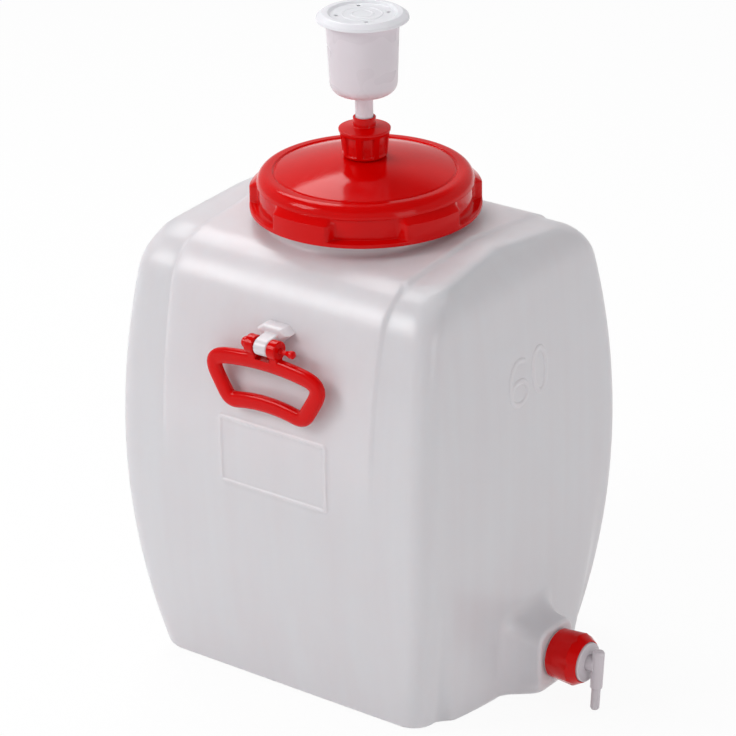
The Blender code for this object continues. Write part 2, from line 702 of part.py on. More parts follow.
def boss_form(name, inset):
    """The swelling at the foot of the end face that carries the tap, lofted along X.

    It flares into the end face at its root, and its underside curves up to the face like a heel.
    """
    places = [(BOSS_ROOT + (BOSS_FACE - BOSS_ROOT) * share, 0.0) for share in BOSS_STATION_SHARES]
    places += [(BOSS_FACE - BOSS_EDGE / 2, BOSS_EDGE / 4), (BOSS_FACE, BOSS_EDGE)]
    rings = []
    for along, tuck in places:
        share = min(max((along - BOSS_ROOT) / (BOSS_FACE - BOSS_ROOT), 0.0), 1.0)
        flare = (1 - share) ** 3
        bend = min(max(1 - (BOSS_FACE - along) / BOSS_HEEL_LENGTH, 0.0), 1.0)
        half = BOSS_FACE_HALF_WIDTH + (BOSS_ROOT_HALF_WIDTH - BOSS_FACE_HALF_WIDTH) * flare
        top = BOSS_FACE_TOP + (BOSS_ROOT_TOP - BOSS_FACE_TOP) * flare
        low = BOSS_LOW + BOSS_HEEL_HEIGHT * (1 - math.sqrt(1 - bend ** 2))
        inwards = inset + tuck
        outline = rounded_rectangle(half - inwards, low + inwards, top - inwards, BOSS_CORNER_RADIUS - inset, 4)
        rings.append([(along - inset, across, height) for across, height in outline])
    return loft(name, rings)


def lug_forms(suffix, side):
    """Bevelled lug and hooked tongue that hold a handle's pin; side is -1 in front, 1 behind."""
    outline = [(-LUG_TOP_HALF_WIDTH, LUG_PEAK), (-LUG_HALF_WIDTH, LUG_SIDE), (-TONGUE_HALF_WIDTH, LUG_FOOT),
               (TONGUE_HALF_WIDTH, LUG_FOOT), (LUG_HALF_WIDTH, LUG_SIDE), (LUG_TOP_HALF_WIDTH, LUG_PEAK)]
    narrowed = 1 - LUG_BEVEL / LUG_HALF_WIDTH
    rings = []
    for out, share in ((LUG_ROOT, 1.0), (LUG_FRONT - LUG_BEVEL, 1.0), (LUG_FRONT, narrowed)):
        rings.append([(FEATURE_PLACE + x * share, side * out, PIN_HEIGHT + LUG_SIDE + (z - LUG_SIDE) * share)
                      for x, z in outline])
    lug = loft("guide_lug_" + suffix, rings)
    hook = arc((PIN_OUT, PIN_HEIGHT), TONGUE_RADIUS, -TONGUE_UNDER_ANGLE, TONGUE_OVER_ANGLE, 8)
    section = [(LUG_ROOT, PIN_HEIGHT - LUG_FOOT)] + hook + [(LUG_ROOT, PIN_HEIGHT + LUG_PEAK - LUG_BEVEL)]
    section = [(side * out, height) for out, height in section]
    tongue = extrude_outline("guide_tongue_" + suffix, section, FEATURE_PLACE - TONGUE_HALF_WIDTH,
                             FEATURE_PLACE + TONGUE_HALF_WIDTH, "X")
    hole = cylinder("guide_tongue_hole_" + suffix, PIN_HOLE_RADIUS, -LUG_HALF_WIDTH, LUG_HALF_WIDTH,
                    TINY_FACET_COUNT)
    hole.rotation_euler = (0, math.pi / 2, 0)
    hole.location = (FEATURE_PLACE, side * PIN_OUT, PIN_HEIGHT)
    return lug, tongue, hole


def barrel_body(material):
    """Blow moulded shell with neck, tap boss and handle lugs."""
    label_columns = label_stops(FEATURE_PLACE - LABEL_LENGTH / 2, FEATURE_PLACE + LABEL_LENGTH / 2)
    panel_edge = [PANEL_HALF_LENGTH, PANEL_HALF_LENGTH + PANEL_RUN]
    columns = [-place for place in panel_edge[::-1]] + label_columns + panel_edge
    columns.insert(len(columns) // 2, FEATURE_PLACE)
    body = shell_solid("barrel_body", 0.0, 0.0, columns, OUTER_STEP_COUNT,
                       label_stops(LABEL_LOW, LABEL_HIGH), True, material)
    hollow_columns = [-PANEL_HALF_LENGTH, -LABEL_LENGTH / 2, 0.0, LABEL_LENGTH / 2, PANEL_HALF_LENGTH]
    hollow = shell_solid("guide_hollow", WALL, WALL, hollow_columns, INNER_STEP_COUNT, [], False)
    neck_root = deck_height(NECK_RADIUS) - WALL - OVERRUN
    neck = cylinder("guide_neck", NECK_RADIUS, neck_root, NECK_TOP, FACET_COUNT)
    mouth = cylinder("guide_mouth", NECK_RADIUS - NECK_WALL, neck_root - OVERRUN, NECK_TOP + OVERRUN,
                     FACET_COUNT)
    spigot = cylinder("guide_spigot", SPIGOT_RADIUS, BOSS_FACE - WALL / 2, BOSS_FACE + SPIGOT_LENGTH)
    bore = cylinder("guide_spigot_bore", SPIGOT_RADIUS - SPIGOT_WALL, BOSS_FACE - WALL - OVERRUN,
                    BOSS_FACE + SPIGOT_LENGTH + OVERRUN)
    for item in (spigot, bore):
        turn_to_x(item, TAP_HEIGHT)
    boss = boss_form("guide_boss", 0.0)
    boss_hollow = boss_form("guide_boss_hollow", WALL)
    join(body, neck, boss, spigot)
    for suffix, side in (("front", -1), ("rear", 1)):
        lug, tongue, hole = lug_forms(suffix, side)
        join(body, lug, tongue)
        cut(body, hole)
    cut(body, hollow, mouth, boss_hollow, bore)
    return body


# Lid and airlock

def pocket_ring(name, inner_radius, outer_radius, low, high, count, angle, draft, start):
    """Cutter of equal ring sectors whose sides slant outwards by the draft."""
    mesh_bm = bmesh.new()
    steps = 4
    for index in range(count):
        middle = start + math.tau * index / count
        rings = []
        for height in (low, high):
            ring = []
            for step in range(steps + 1):
                turn = middle - angle / 2 + angle * step / steps
                ring.append((inner_radius * math.cos(turn), inner_radius * math.sin(turn), height))
            for step in range(steps, -1, -1):
                turn = middle - angle / 2 - draft + (angle + 2 * draft) * step / steps
                ring.append((outer_radius * math.cos(turn), outer_radius * math.sin(turn), height))
            rings.append(ring)
        rows = skin(mesh_bm, rings, closed=False)
        mesh_bm.faces.new(rows[0])
        mesh_bm.faces.new(rows[-1])
    return finish_mesh(name, mesh_bm)


def dome_curve(edge_radius, base, rise, inner_radius, steps):
    """Points from the dome's edge up to where it meets the spout."""
    points = []
    for step in range(steps + 1):
        radius = edge_radius + (inner_radius - edge_radius) * step / steps
        points.append((radius, base + rise * (1 - (radius / edge_radius) ** 2)))
    return points


def lid(material):
    groove_out = LID_GROOVE_RADIUS + LID_GROOVE_WIDTH / 2
    groove_in = LID_GROOVE_RADIUS - LID_GROOVE_WIDTH / 2
    bend = LID_RIM_RADIUS - LID_CREST_RADIUS
    shoulder = []
    steps = 4
    for step in range(steps + 1):
        angle = math.pi / 2 * step / steps
        shoulder.append((LID_CREST_RADIUS + bend * math.cos(angle),
                         LID_RIM + LID_SHOULDER_HEIGHT * math.sin(angle)))
    dome = dome_curve(groove_in, LID_CREST, LID_DOME_RISE, SPOUT_RADIUS, 4)
    dome_under = dome_curve(groove_in, LID_SEAT, LID_DOME_RISE, SPOUT_BORE, 3)
    lip_inside = LID_LIP_RADIUS - LID_LIP_WALL
    lip_foot = LID_SEAT - LID_LIP_HEIGHT
    outline = [(LID_SKIRT_BORE, LID_BOTTOM), (LID_RADIUS, LID_BOTTOM), (LID_RADIUS, LID_RIM - LID_BLOCK_BEVEL)]
    outline += shoulder + [(groove_out, LID_CREST), (LID_GROOVE_RADIUS, LID_CREST - LID_GROOVE_DEPTH)] + dome
    outline += [(SPOUT_RADIUS, SPOUT_TOP), (SPOUT_BORE, SPOUT_TOP)] + dome_under[::-1]
    outline += [(lip_inside, LID_SEAT), (lip_inside, lip_foot), (LID_LIP_RADIUS, lip_foot),
                (LID_LIP_RADIUS, LID_SEAT), (LID_SKIRT_BORE, LID_SEAT)]
    item = revolve("lid", outline, material, LID_FACET_COUNT)
    pockets = pocket_ring("guide_lid_pockets", LID_POCKET_RADIUS, LID_RADIUS + OVERRUN,
                          LID_BOTTOM + LID_FLANGE_HEIGHT, LID_RIM - GAP,
                          LID_POCKET_COUNT, LID_POCKET_ANGLE, LID_POCKET_DRAFT, LID_POCKET_START)
    cut(item, pockets)
    return item


def lid_seal(material):
    low = NECK_TOP + GAP
    high = low + LID_SEAL_HEIGHT
    inner = LID_LIP_RADIUS + LID_SEAL_PLAY
    outer = LID_SKIRT_BORE - LID_SEAL_SETBACK
    outline = [(inner, low), (outer, low), (outer, high), (inner, high)]
    return revolve("lid_seal", outline, material, FACET_COUNT)


def airlock_seal(material):
    """Thick rubber ring that grips the airlock's stem on top of the lid's spout."""
    low = SPOUT_TOP + GAP
    high = low + AIRLOCK_SEAL_HEIGHT
    bore = STEM_RADIUS + GAP
    outline = [(bore, low), (SPOUT_RADIUS, low), (SPOUT_RADIUS, high), (bore, high)]
    return revolve("airlock_seal", outline, material, SMALL_FACET_COUNT)


def airlock_cap(material):
    """Fluted screw cap with a collar round the stem."""
    groove_in = LID_GROOVE_RADIUS - LID_GROOVE_WIDTH / 2
    lid_share = 1 - (CAP_LOWER_RADIUS / groove_in) ** 2
    bottom = LID_CREST + LID_DOME_RISE * lid_share + CAP_CLEARANCE
    top = CAP_UNDER + CAP_PLATE
    bore = STEM_RADIUS + 2 * GAP
    collar = bore + CAP_COLLAR_WALL
    chamfer = CAP_POCKET_DEPTH
    outline = [(CAP_BORE, bottom), (CAP_LOWER_RADIUS - chamfer, bottom),
               (CAP_LOWER_RADIUS, bottom + chamfer), (CAP_UPPER_RADIUS, top - CAP_LIP),
               (CAP_TOP_RADIUS, top - CAP_LIP), (CAP_TOP_RADIUS, top), (collar, top + CAP_CROWN),
               (collar, CAP_COLLAR_TOP), (bore, CAP_COLLAR_TOP), (bore, CAP_UNDER), (CAP_BORE, CAP_UNDER)]
    item = revolve("airlock_cap", outline, material, 4 * CAP_POCKET_COUNT)
    pockets = pocket_ring("guide_cap_pockets", CAP_LOWER_RADIUS - CAP_POCKET_DEPTH / 2,
                          CAP_TOP_RADIUS + OVERRUN, bottom + 2 * chamfer, top - 2 * CAP_LIP,
                          CAP_POCKET_COUNT, CAP_POCKET_ANGLE, CAP_POCKET_DRAFT, 0.0)
    cut(item, pockets)
    return item


def airlock_cup(material):
    """Water cup on a hollow stem, with the inner tube that the bell stands over."""
    rim = CUP_BOTTOM + CUP_RIM_HEIGHT
    floor = CUP_BOTTOM + CUP_FLOOR
    edge_height = CUP_BOTTOM + CUP_EDGE_RADIUS
    tube = STEM_BORE + TUBE_WALL
    outer = arc((CUP_LOW_RADIUS - CUP_EDGE_RADIUS, edge_height), CUP_EDGE_RADIUS, -math.pi / 2, 0, 4)
    inner_radius = CUP_EDGE_RADIUS - CUP_WALL
    inner = arc((CUP_LOW_RADIUS - CUP_EDGE_RADIUS, floor + inner_radius), inner_radius, 0, -math.pi / 2, 3)
    outline = [(STEM_BORE, STEM_BOTTOM), (STEM_RADIUS, STEM_BOTTOM), (STEM_RADIUS, CUP_BOTTOM)] + outer
    outline += [(CUP_RIM_RADIUS, rim), (CUP_RIM_RADIUS - CUP_WALL, rim)] + inner
    outline += [(tube, floor), (tube, floor + TUBE_HEIGHT), (STEM_BORE, floor + TUBE_HEIGHT)]
    return revolve("airlock_cup", outline, material, CUP_FACET_COUNT)


def airlock_bell(material):
    """Loose bell over the inner tube, notched at its foot so that gas can bubble out."""
    low = CUP_BOTTOM + CUP_FLOOR + GAP
    top = low + BELL_HEIGHT
    inner = BELL_RADIUS - BELL_WALL
    outline = [(inner, low), (BELL_RADIUS, low), (BELL_RADIUS, top - BELL_WALL), (BELL_RADIUS - BELL_WALL, top),
               (0, top), (0, top - BELL_WALL), (inner, top - BELL_WALL)]
    item = revolve("airlock_bell", outline, material, SMALL_FACET_COUNT)
    notch = rounded_rectangle(BELL_NOTCH_WIDTH / 2, low - BELL_NOTCH_HEIGHT, low + BELL_NOTCH_HEIGHT,
                              BELL_NOTCH_WIDTH / 4, 2)
    for axis in ("X", "Y"):
        slot = extrude_outline("guide_bell_notch_" + axis, notch, -BELL_RADIUS - OVERRUN,
                               BELL_RADIUS + OVERRUN, axis)
        cut(item, slot)
    return item


def airlock_cover(material):
    """Dished cover that rests on the cup's rim, with a short skirt inside it and vent holes."""
    rest = CUP_BOTTOM + CUP_RIM_HEIGHT + GAP
    crest = rest + COVER_RIM_RISE
    dish = rest + COVER_DISH_RISE
    skirt_out = CUP_RIM_RADIUS - CUP_WALL - 2 * GAP
    skirt_in = skirt_out - COVER_SKIRT_WALL
    lean = (CUP_RIM_RADIUS - CUP_LOW_RADIUS) * COVER_SKIRT_DEPTH / CUP_RIM_HEIGHT
    edge = CUP_RIM_RADIUS + COVER_OVERHANG
    middle = CUP_RIM_RADIUS + COVER_OVERHANG / 2
    dish_radius = skirt_in - COVER_DISH_INSET
    outline = [(0, dish), (dish_radius, dish), (skirt_out, crest), (middle - COVER_THICKNESS, crest),
               (edge - COVER_THICKNESS / 2, rest + COVER_THICKNESS / 2), (edge, rest - COVER_DROOP),
               (edge - COVER_THICKNESS, rest - COVER_DROOP), (middle, rest),
               (skirt_out, rest), (skirt_out - lean, rest - COVER_SKIRT_DEPTH),
               (skirt_in - lean, rest - COVER_SKIRT_DEPTH), (skirt_in - GAP, dish - COVER_THICKNESS),
               (0, dish - COVER_THICKNESS)]
    item = revolve("airlock_cover", outline, material, CUP_FACET_COUNT)
    for index in range(COVER_HOLE_COUNT):
        angle = math.tau * (index + 0.5) / COVER_HOLE_COUNT
        hole = cylinder("guide_cover_hole_%d" % index, COVER_HOLE_RADIUS,
                        rest - COVER_SKIRT_DEPTH, crest + OVERRUN, TINY_FACET_COUNT)
        place = dish_radius - COVER_HOLE_INSET
        hole.location = (place * math.cos(angle), place * math.sin(angle), 0)
        cut(item, hole)
    return item


# Carrying handles

def handle_path():
    """Centre line of the handle's closed frame as (along, drop) points below the pin."""
    top = -HANDLE_TOP_DROP - HANDLE_TOP_SAG
    bottom = -HANDLE_BOTTOM_DROP - HANDLE_BOTTOM_SAG
    corners = [(-HANDLE_TOP_HALF, top), (HANDLE_TOP_HALF, top),
               (HANDLE_BOTTOM_HALF, bottom), (-HANDLE_BOTTOM_HALF, bottom)]
    trims = (HANDLE_TOP_CORNER, HANDLE_TOP_CORNER, HANDLE_BOTTOM_CORNER, HANDLE_BOTTOM_CORNER)
    bows = (HANDLE_TOP_SAG, 0.0, -HANDLE_BOTTOM_SAG, 0.0)
    steps = (8, 1, 7, 1)
    edges = []
    for index, corner in enumerate(corners):
        after = (index + 1) % len(corners)
        start = Vector(corner)
        run = Vector(corners[after]) - start
        first = trims[index] / run.length
        last = 1 - trims[after] / run.length
        across = Vector((-run.y, run.x)).normalized()
        edge = []
        for step in range(steps[index] + 1):
            share = first + (last - first) * step / steps[index]
            edge.append(start + run * share + across * bows[index] * (1 - (2 * share - 1) ** 2))
        edges.append(edge)
    points = []
    turn_steps = 4
    for index, edge in enumerate(edges):
        after = (index + 1) % len(corners)
        corner = Vector(corners[after])
        points += edge
        for step in range(1, turn_steps):
            share = step / turn_steps
            leaving = edge[-1].lerp(corner, share)
            points.append(leaving.lerp(corner.lerp(edges[after][0], share), share))
    return [(point.x, point.y) for point in points]


def bar_ring(before, point, after):
    """Soft edged section of the handle's bar, square to its centre line."""
    along = (Vector(after) - Vector(before)).normalized()
    across = Vector((-along.y, along.x))
    sides = 10
    ring = []
    for step in range(sides):
        angle = math.tau * step / sides
        wide, deep = (math.copysign(abs(turn) ** HANDLE_BAR_ROUND_SHARE, turn) / 2
                      for turn in (math.cos(angle), math.sin(angle)))
        place = Vector(point) + across * wide * HANDLE_BAR_WIDTH
        ring.append((place.x, deep * HANDLE_BAR_THICKNESS, place.y))
    return ring


def handle(name, material, side):
    """Arched frame with two eyes; its origin lies on the pin's axis."""
    path = handle_path()
    following = path[1:] + path[:1]
    rings = [bar_ring(path[index - 1], point, following[index]) for index, point in enumerate(path)]
    mesh_bm = bmesh.new()
    skin(mesh_bm, rings, closed=True)
    item = finish_mesh(name, mesh_bm, material)
    item.location = (FEATURE_PLACE, side * PIN_OUT, PIN_HEIGHT)
    inner = TONGUE_HALF_WIDTH + EYE_PLAY
    post_half = HANDLE_BAR_THICKNESS / 2 - GAP
    post = [(-post_half, -HANDLE_TOP_DROP), (post_half, -HANDLE_TOP_DROP), (post_half, 0), (-post_half, 0)]
    saddle = cylinder("guide_saddle_" + name, HANDLE_SADDLE_RADIUS, -inner, inner, SMALL_FACET_COUNT)
    hole = cylinder("guide_hole_" + name, PIN_HOLE_RADIUS, -LUG_HALF_WIDTH, LUG_HALF_WIDTH, TINY_FACET_COUNT)
    for key, sign in (("left", -1), ("right", 1)):
        low, high = sorted((sign * inner, sign * (inner + EYE_WIDTH)))
        eye = cylinder("guide_eye_%s_%s" % (name, key), EYE_RADIUS, low, high, SMALL_FACET_COUNT)
        eye.rotation_euler = (0, math.pi / 2, 0)
        eye.location = item.location
        leg = extrude_outline("guide_leg_%s_%s" % (name, key), post, low + GAP, high - GAP, "X")
        leg.location = item.location
        join(item, eye, leg)
    for cutter in (saddle, hole):
        cutter.rotation_euler = (0, math.pi / 2, 0)
        cutter.location = item.location
        cut(item, cutter)
    return item


def handle_pin(name, material, side):
    """Headed pin whose slim neck ends in a bulb; the head is on the left seen from outside."""
    reach = TONGUE_HALF_WIDTH + EYE_PLAY + EYE_WIDTH + GAP
    neck, swelling, bulb, nose = [reach + PIN_TIP_LENGTH * share for share in PIN_TIP_SHARES]
    crown = PIN_HEAD_RADIUS * PIN_HEAD_CROWN_SHARE
    head = -reach - PIN_HEAD_LENGTH
    outline = [(0, head), (crown, head), (PIN_HEAD_RADIUS, head + PIN_HEAD_RADIUS - crown),
               (PIN_HEAD_RADIUS, -reach), (PIN_RADIUS, -reach), (PIN_RADIUS, reach), (PIN_NECK_RADIUS, neck),
               (PIN_NECK_RADIUS, swelling), (PIN_BULB_RADIUS, bulb), (PIN_BULB_RADIUS, nose),
               (PIN_NECK_RADIUS, reach + PIN_TIP_LENGTH), (0, reach + PIN_TIP_LENGTH)]
    item = revolve(name, outline, material, TINY_FACET_COUNT)
    item.rotation_euler = (0, -side * math.pi / 2, 0)
    item.location = (FEATURE_PLACE, side * PIN_OUT, PIN_HEIGHT)
    return item


# Tap

def tap_seal(material):
    inner = TAP_TUBE_RADIUS + TAP_SEAL_PLAY
    outline = [(inner, SPIGOT_END + GAP), (SPIGOT_RADIUS, SPIGOT_END + GAP),
               (SPIGOT_RADIUS, TAP_SEAL_FRONT), (inner, TAP_SEAL_FRONT)]
    item = revolve("tap_seal", outline, material, SMALL_FACET_COUNT)
    turn_to_x(item, TAP_HEIGHT)
    return item


def tap_nut(material):
    """Union nut that widens towards its long front chamfer, with broad shallow grip hollows."""
    rear = BOSS_FACE + NUT_REAR_GAP
    outline = [(NUT_BORE, rear), (NUT_REAR_RADIUS - NUT_REAR_BEVEL, rear),
               (NUT_REAR_RADIUS, rear + NUT_REAR_BEVEL), (NUT_RADIUS, NUT_FRONT - NUT_CHAMFER_LENGTH),
               (NUT_LIP_BORE + NUT_NOSE_WALL, NUT_FRONT), (NUT_LIP_BORE, NUT_FRONT),
               (NUT_LIP_BORE, NUT_FRONT - NUT_LIP), (NUT_BORE, NUT_FRONT - NUT_LIP)]
    item = revolve("tap_nut", outline, material, FACET_COUNT)
    turn_to_x(item, TAP_HEIGHT)
    mesh_bm = bmesh.new()
    ring_radius = NUT_RADIUS + NUT_HOLLOW_RADIUS - NUT_HOLLOW_DEPTH
    for index in range(NUT_HOLLOW_COUNT):
        turn = NUT_HOLLOW_START + math.tau * index / NUT_HOLLOW_COUNT
        centre = (ring_radius * math.cos(turn), ring_radius * math.sin(turn))
        section = arc(centre, NUT_HOLLOW_RADIUS, turn + math.pi - NUT_HOLLOW_REACH,
                      turn + math.pi + NUT_HOLLOW_REACH, 6)
        for side in (turn - NUT_HOLLOW_REACH, turn + NUT_HOLLOW_REACH):
            outer = (NUT_RADIUS + OVERRUN) / math.cos(NUT_HOLLOW_REACH)
            section.append((outer * math.cos(side), outer * math.sin(side)))
        rows = skin(mesh_bm, [[(x, y, height) for x, y in section]
                              for height in (rear - OVERRUN, NUT_FRONT - NUT_CHAMFER_LENGTH / 2)], closed=False)
        mesh_bm.faces.new(rows[0])
        mesh_bm.faces.new(rows[-1])
    hollows = finish_mesh("guide_nut_hollows", mesh_bm)
    turn_to_x(hollows, TAP_HEIGHT)
    cut(item, hollows)
    return item


def tap_body(material):
    """Drum and flange of the tap, with a blind bore for the plug and a port on its underside."""
    bore = PLUG_RADIUS + GAP
    outline = [(0, TUBE_REAR), (TAP_TUBE_RADIUS, TUBE_REAR), (TAP_TUBE_RADIUS, FLANGE_REAR),
               (SPIGOT_RADIUS, FLANGE_REAR), (SPIGOT_RADIUS, FLANGE_FRONT),
               (TAP_DRUM_RADIUS, FLANGE_FRONT),
               (TAP_DRUM_RADIUS, TAP_DRUM_FRONT), (bore, TAP_DRUM_FRONT),
               (bore, TUBE_REAR + TAP_TUBE_END), (0, TUBE_REAR + TAP_TUBE_END)]
    item = revolve("tap_body", outline, material, CUP_FACET_COUNT)
    turn_to_x(item, TAP_HEIGHT)
    port = cylinder("guide_body_port", PORT_RADIUS, -TAP_TUBE_RADIUS - OVERRUN, 0, TINY_FACET_COUNT)
    port.location = (PORT_PLACE, 0, TAP_HEIGHT)
    cut(item, port)
    return item


def tap_spout(material):
    """Turning plug and the spout arm on its front, bored from the port to the nozzle."""
    groove = PLUG_RADIUS - O_RING_THICKNESS - 2 * GAP
    ring_front = TAP_DRUM_FRONT - O_RING_SETBACK
    ring_rear = ring_front - O_RING_THICKNESS
    arm_axis = TAP_DRUM_FRONT + ARM_STANDOFF + ARM_RADIUS
    outline = [(0, PLUG_REAR), (PLUG_RADIUS, PLUG_REAR), (PLUG_RADIUS, ring_rear - GAP),
               (groove, ring_rear - GAP), (groove, ring_front + GAP), (PLUG_RADIUS, ring_front + GAP),
               (PLUG_RADIUS, arm_axis - ARM_RADIUS / 4), (0, arm_axis - ARM_RADIUS / 4)]
    item = revolve("tap_spout", outline, material, SMALL_FACET_COUNT)
    turn_to_x(item, TAP_HEIGHT)
    tip = NOZZLE_RADIUS * NOZZLE_TIP_SHARE
    profile = [(0, -NOZZLE_BOTTOM), (tip, -NOZZLE_BOTTOM), (NOZZLE_RADIUS, -NOZZLE_BOTTOM + tip / 2),
               (NOZZLE_RADIUS, -ARM_BOTTOM), (ARM_RADIUS, -ARM_BOTTOM)]
    profile += [(ARM_RADIUS * across, ARM_TOP - ARM_RADIUS * down) for across, down in ARM_CROWN_SHARES]
    profile += [(0, ARM_TOP)]
    arm = revolve("guide_arm", profile, None, SMALL_FACET_COUNT)
    arm.location = (arm_axis, 0, TAP_HEIGHT)
    drill = cylinder("guide_nozzle_bore", NOZZLE_BORE, -NOZZLE_BOTTOM - OVERRUN, NOZZLE_BORE / 2, TINY_FACET_COUNT)
    drill.location = arm.location
    passage = cylinder("guide_plug_bore", PLUG_BORE, PORT_PLACE + PORT_RADIUS / 2, arm_axis + NOZZLE_BORE / 2,
                       TINY_FACET_COUNT)
    turn_to_x(passage, TAP_HEIGHT)
    port = cylinder("guide_plug_port", PORT_RADIUS, -PLUG_RADIUS - OVERRUN, PORT_RADIUS / 2, TINY_FACET_COUNT)
    port.location = (PORT_PLACE + PORT_RADIUS, 0, TAP_HEIGHT)
    join(item, arm)
    cut(item, passage, drill, port)
    for piece in (item, arm, passage, drill, port):
        turn_about_tap(piece, ARM_TURN)
    return item


def tap_o_ring(material):
    """Round section ring in the plug's groove."""
    radius = O_RING_THICKNESS / 2
    centre = (PLUG_RADIUS - radius, TAP_DRUM_FRONT - O_RING_SETBACK - radius)
    outline = arc(centre, radius, 0, math.tau, 6)[:-1]
    item = revolve("tap_o_ring", outline, material, SMALL_FACET_COUNT)
    turn_to_x(item, TAP_HEIGHT)
    return item


def build():
    clear_scene()
    milk = make_material("milky blow moulded polyethylene", MILK_COLOUR, 0.42)
    red = make_material("red moulded polyethylene", RED_COLOUR, 0.28)
    clear = make_material("translucent moulded plastic", CLEAR_COLOUR, 0.32)
    rubber = make_material("pale sealing rubber", RUBBER_COLOUR, 0.6)
    barrel_body(milk)
    lid(red)
    lid_seal(rubber)
    airlock_seal(rubber)
    airlock_cap(red)
    airlock_cup(clear)
    airlock_bell(clear)
    airlock_cover(clear)
    for suffix, side in (("front", -1), ("rear", 1)):
        handle("handle_" + suffix, red, side)
        handle_pin("handle_pin_" + suffix, red, side)
    tap_seal(rubber)
    tap_nut(red)
    tap_body(clear)
    tap_spout(clear)
    tap_o_ring(rubber)


build()
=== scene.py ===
# %% [markdown]
# # A drinks barrel with a screw lid, a water airlock and a drain tap
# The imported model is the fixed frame. Pieces could be set by eye, but here each one is made in
# metres where the model says and rides on one of its bodies, so that the lid unscrews and the
# handles swing in any pose.

# %% Load the frame
import json
import math
import bmesh
import bpy
import numpy as np
from mathutils import Matrix, Vector
from mathutils.bvhtree import BVHTree

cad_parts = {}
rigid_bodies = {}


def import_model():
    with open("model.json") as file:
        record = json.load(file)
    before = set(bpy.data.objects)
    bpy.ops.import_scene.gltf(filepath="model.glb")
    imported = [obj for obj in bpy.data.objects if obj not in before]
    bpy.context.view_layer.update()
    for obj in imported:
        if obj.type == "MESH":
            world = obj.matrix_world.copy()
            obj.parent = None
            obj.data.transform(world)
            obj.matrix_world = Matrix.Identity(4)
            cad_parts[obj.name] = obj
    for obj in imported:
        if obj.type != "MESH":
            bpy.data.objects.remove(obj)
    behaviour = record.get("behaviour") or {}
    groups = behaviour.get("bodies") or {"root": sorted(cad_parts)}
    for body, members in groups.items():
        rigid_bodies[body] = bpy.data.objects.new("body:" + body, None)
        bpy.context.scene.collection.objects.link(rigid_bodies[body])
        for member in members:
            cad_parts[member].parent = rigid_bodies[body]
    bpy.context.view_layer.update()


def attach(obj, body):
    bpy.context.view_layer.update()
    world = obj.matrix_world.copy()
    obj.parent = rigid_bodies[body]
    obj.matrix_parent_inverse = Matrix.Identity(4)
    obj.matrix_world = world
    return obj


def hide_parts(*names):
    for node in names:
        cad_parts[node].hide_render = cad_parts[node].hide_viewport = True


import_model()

# %% [markdown]
# The camera stands 3.7 m away behind a long lens, as a catalogue photographer's does, for a near
# one would make the barrel taper. A constraint could aim it, but three directions made from its
# azimuth, its elevation and a slight roll say exactly how it stands.

# %% Camera
AZIMUTH, ELEVATION, ROLL = math.radians(37.0), math.radians(24.33), math.radians(-1.1)
AIM, DISTANCE, LENS, SHIFT = Vector((0, 0, 0.3191)), 3.672, 168.7, -0.0016

away = Vector((math.sin(AZIMUTH) * math.cos(ELEVATION), -math.cos(AZIMUTH) * math.cos(ELEVATION),
               math.sin(ELEVATION)))
level = Vector((math.cos(AZIMUTH), math.sin(AZIMUTH), 0.0))
upright = away.cross(level)
right = level * math.cos(ROLL) + upright * math.sin(ROLL)
upwards = upright * math.cos(ROLL) - level * math.sin(ROLL)

camera = bpy.data.objects.new("camera", bpy.data.cameras.new("camera"))
bpy.context.scene.collection.objects.link(camera)
camera.matrix_world = (Matrix.Translation(AIM + away * DISTANCE)
                       @ Matrix((right, upwards, away)).transposed().to_4x4())
camera.data.sensor_width = 36.0
camera.data.lens = LENS
camera.data.shift_x = SHIFT
camera.data.clip_end = 100.0
bpy.context.scene.camera = camera
print("camera at", tuple(round(v, 3) for v in camera.matrix_world.translation))

# %% [markdown]
# Finishes are node trees built by script, so that every number can be read and changed. Colours
# are written as on a paint chart, in sRGB hex, and turned to the linear numbers a shader wants.
# One function adds a node with its settings and links. An input goes by its name or place, and in
# a Map Range places 1 and 2 are the range that it reads, 3 and 4 the range that it gives.

# %% Colours and nodes
def linear(chart):
    """An sRGB hex colour as linear red, green, blue and alpha."""
    parts = [int(chart[at:at + 2], 16) / 255 for at in (1, 3, 5)]
    colour = [p / 12.92 if p <= 0.04045 else ((p + 0.055) / 1.055) ** 2.4 for p in parts]
    return (*colour, 1.0)


def wire(tree, node, inputs):
    """Sets numbers and links sockets; a node given as a value stands for its first output."""
    for name, value in inputs.items():
        if isinstance(value, bpy.types.Node):
            value = value.outputs[0]
        if isinstance(value, bpy.types.NodeSocket):
            tree.links.new(value, node.inputs[name])
        else:
            node.inputs[name].default_value = value


def add(tree, kind, inputs=None, **settings):
    """Adds a node with its settings and its inputs."""
    made = tree.nodes.new(kind)
    for name, value in settings.items():
        setattr(made, name, value)
    wire(tree, made, inputs or {})
    return made


def new_finish(name):
    """A new material, its tree and shader, and the piece's own coordinates."""
    material = bpy.data.materials.new(name)
    material.use_nodes = True
    tree = material.node_tree
    place = add(tree, "ShaderNodeTexCoord").outputs["Object"]
    return material, tree, tree.nodes["Principled BSDF"], place


print("paint chart red", tuple(round(v, 3) for v in linear("#e00000")))

# %% [markdown]
# The shell is blow moulded high density polyethylene in its natural milky colour. Light enters it
# a few millimetres, the colour is cloudy where the wall is thicker, the drawn tube of melt leaves
# faint upright streaks, and the mould's blasted face leaves an orange peel that softens every
# reflection. A photo of such plastic could be laid on, but noise has no seams. The peel is about
# 1 mm on the real barrel, too fine to show here, so it is drawn at 3 mm.

# %% Milky polyethylene
CLOUD, STREAK_WIDTH, STREAK_LENGTH, WAVE, PEEL = 0.110, 0.022, 0.40, 0.045, 0.003


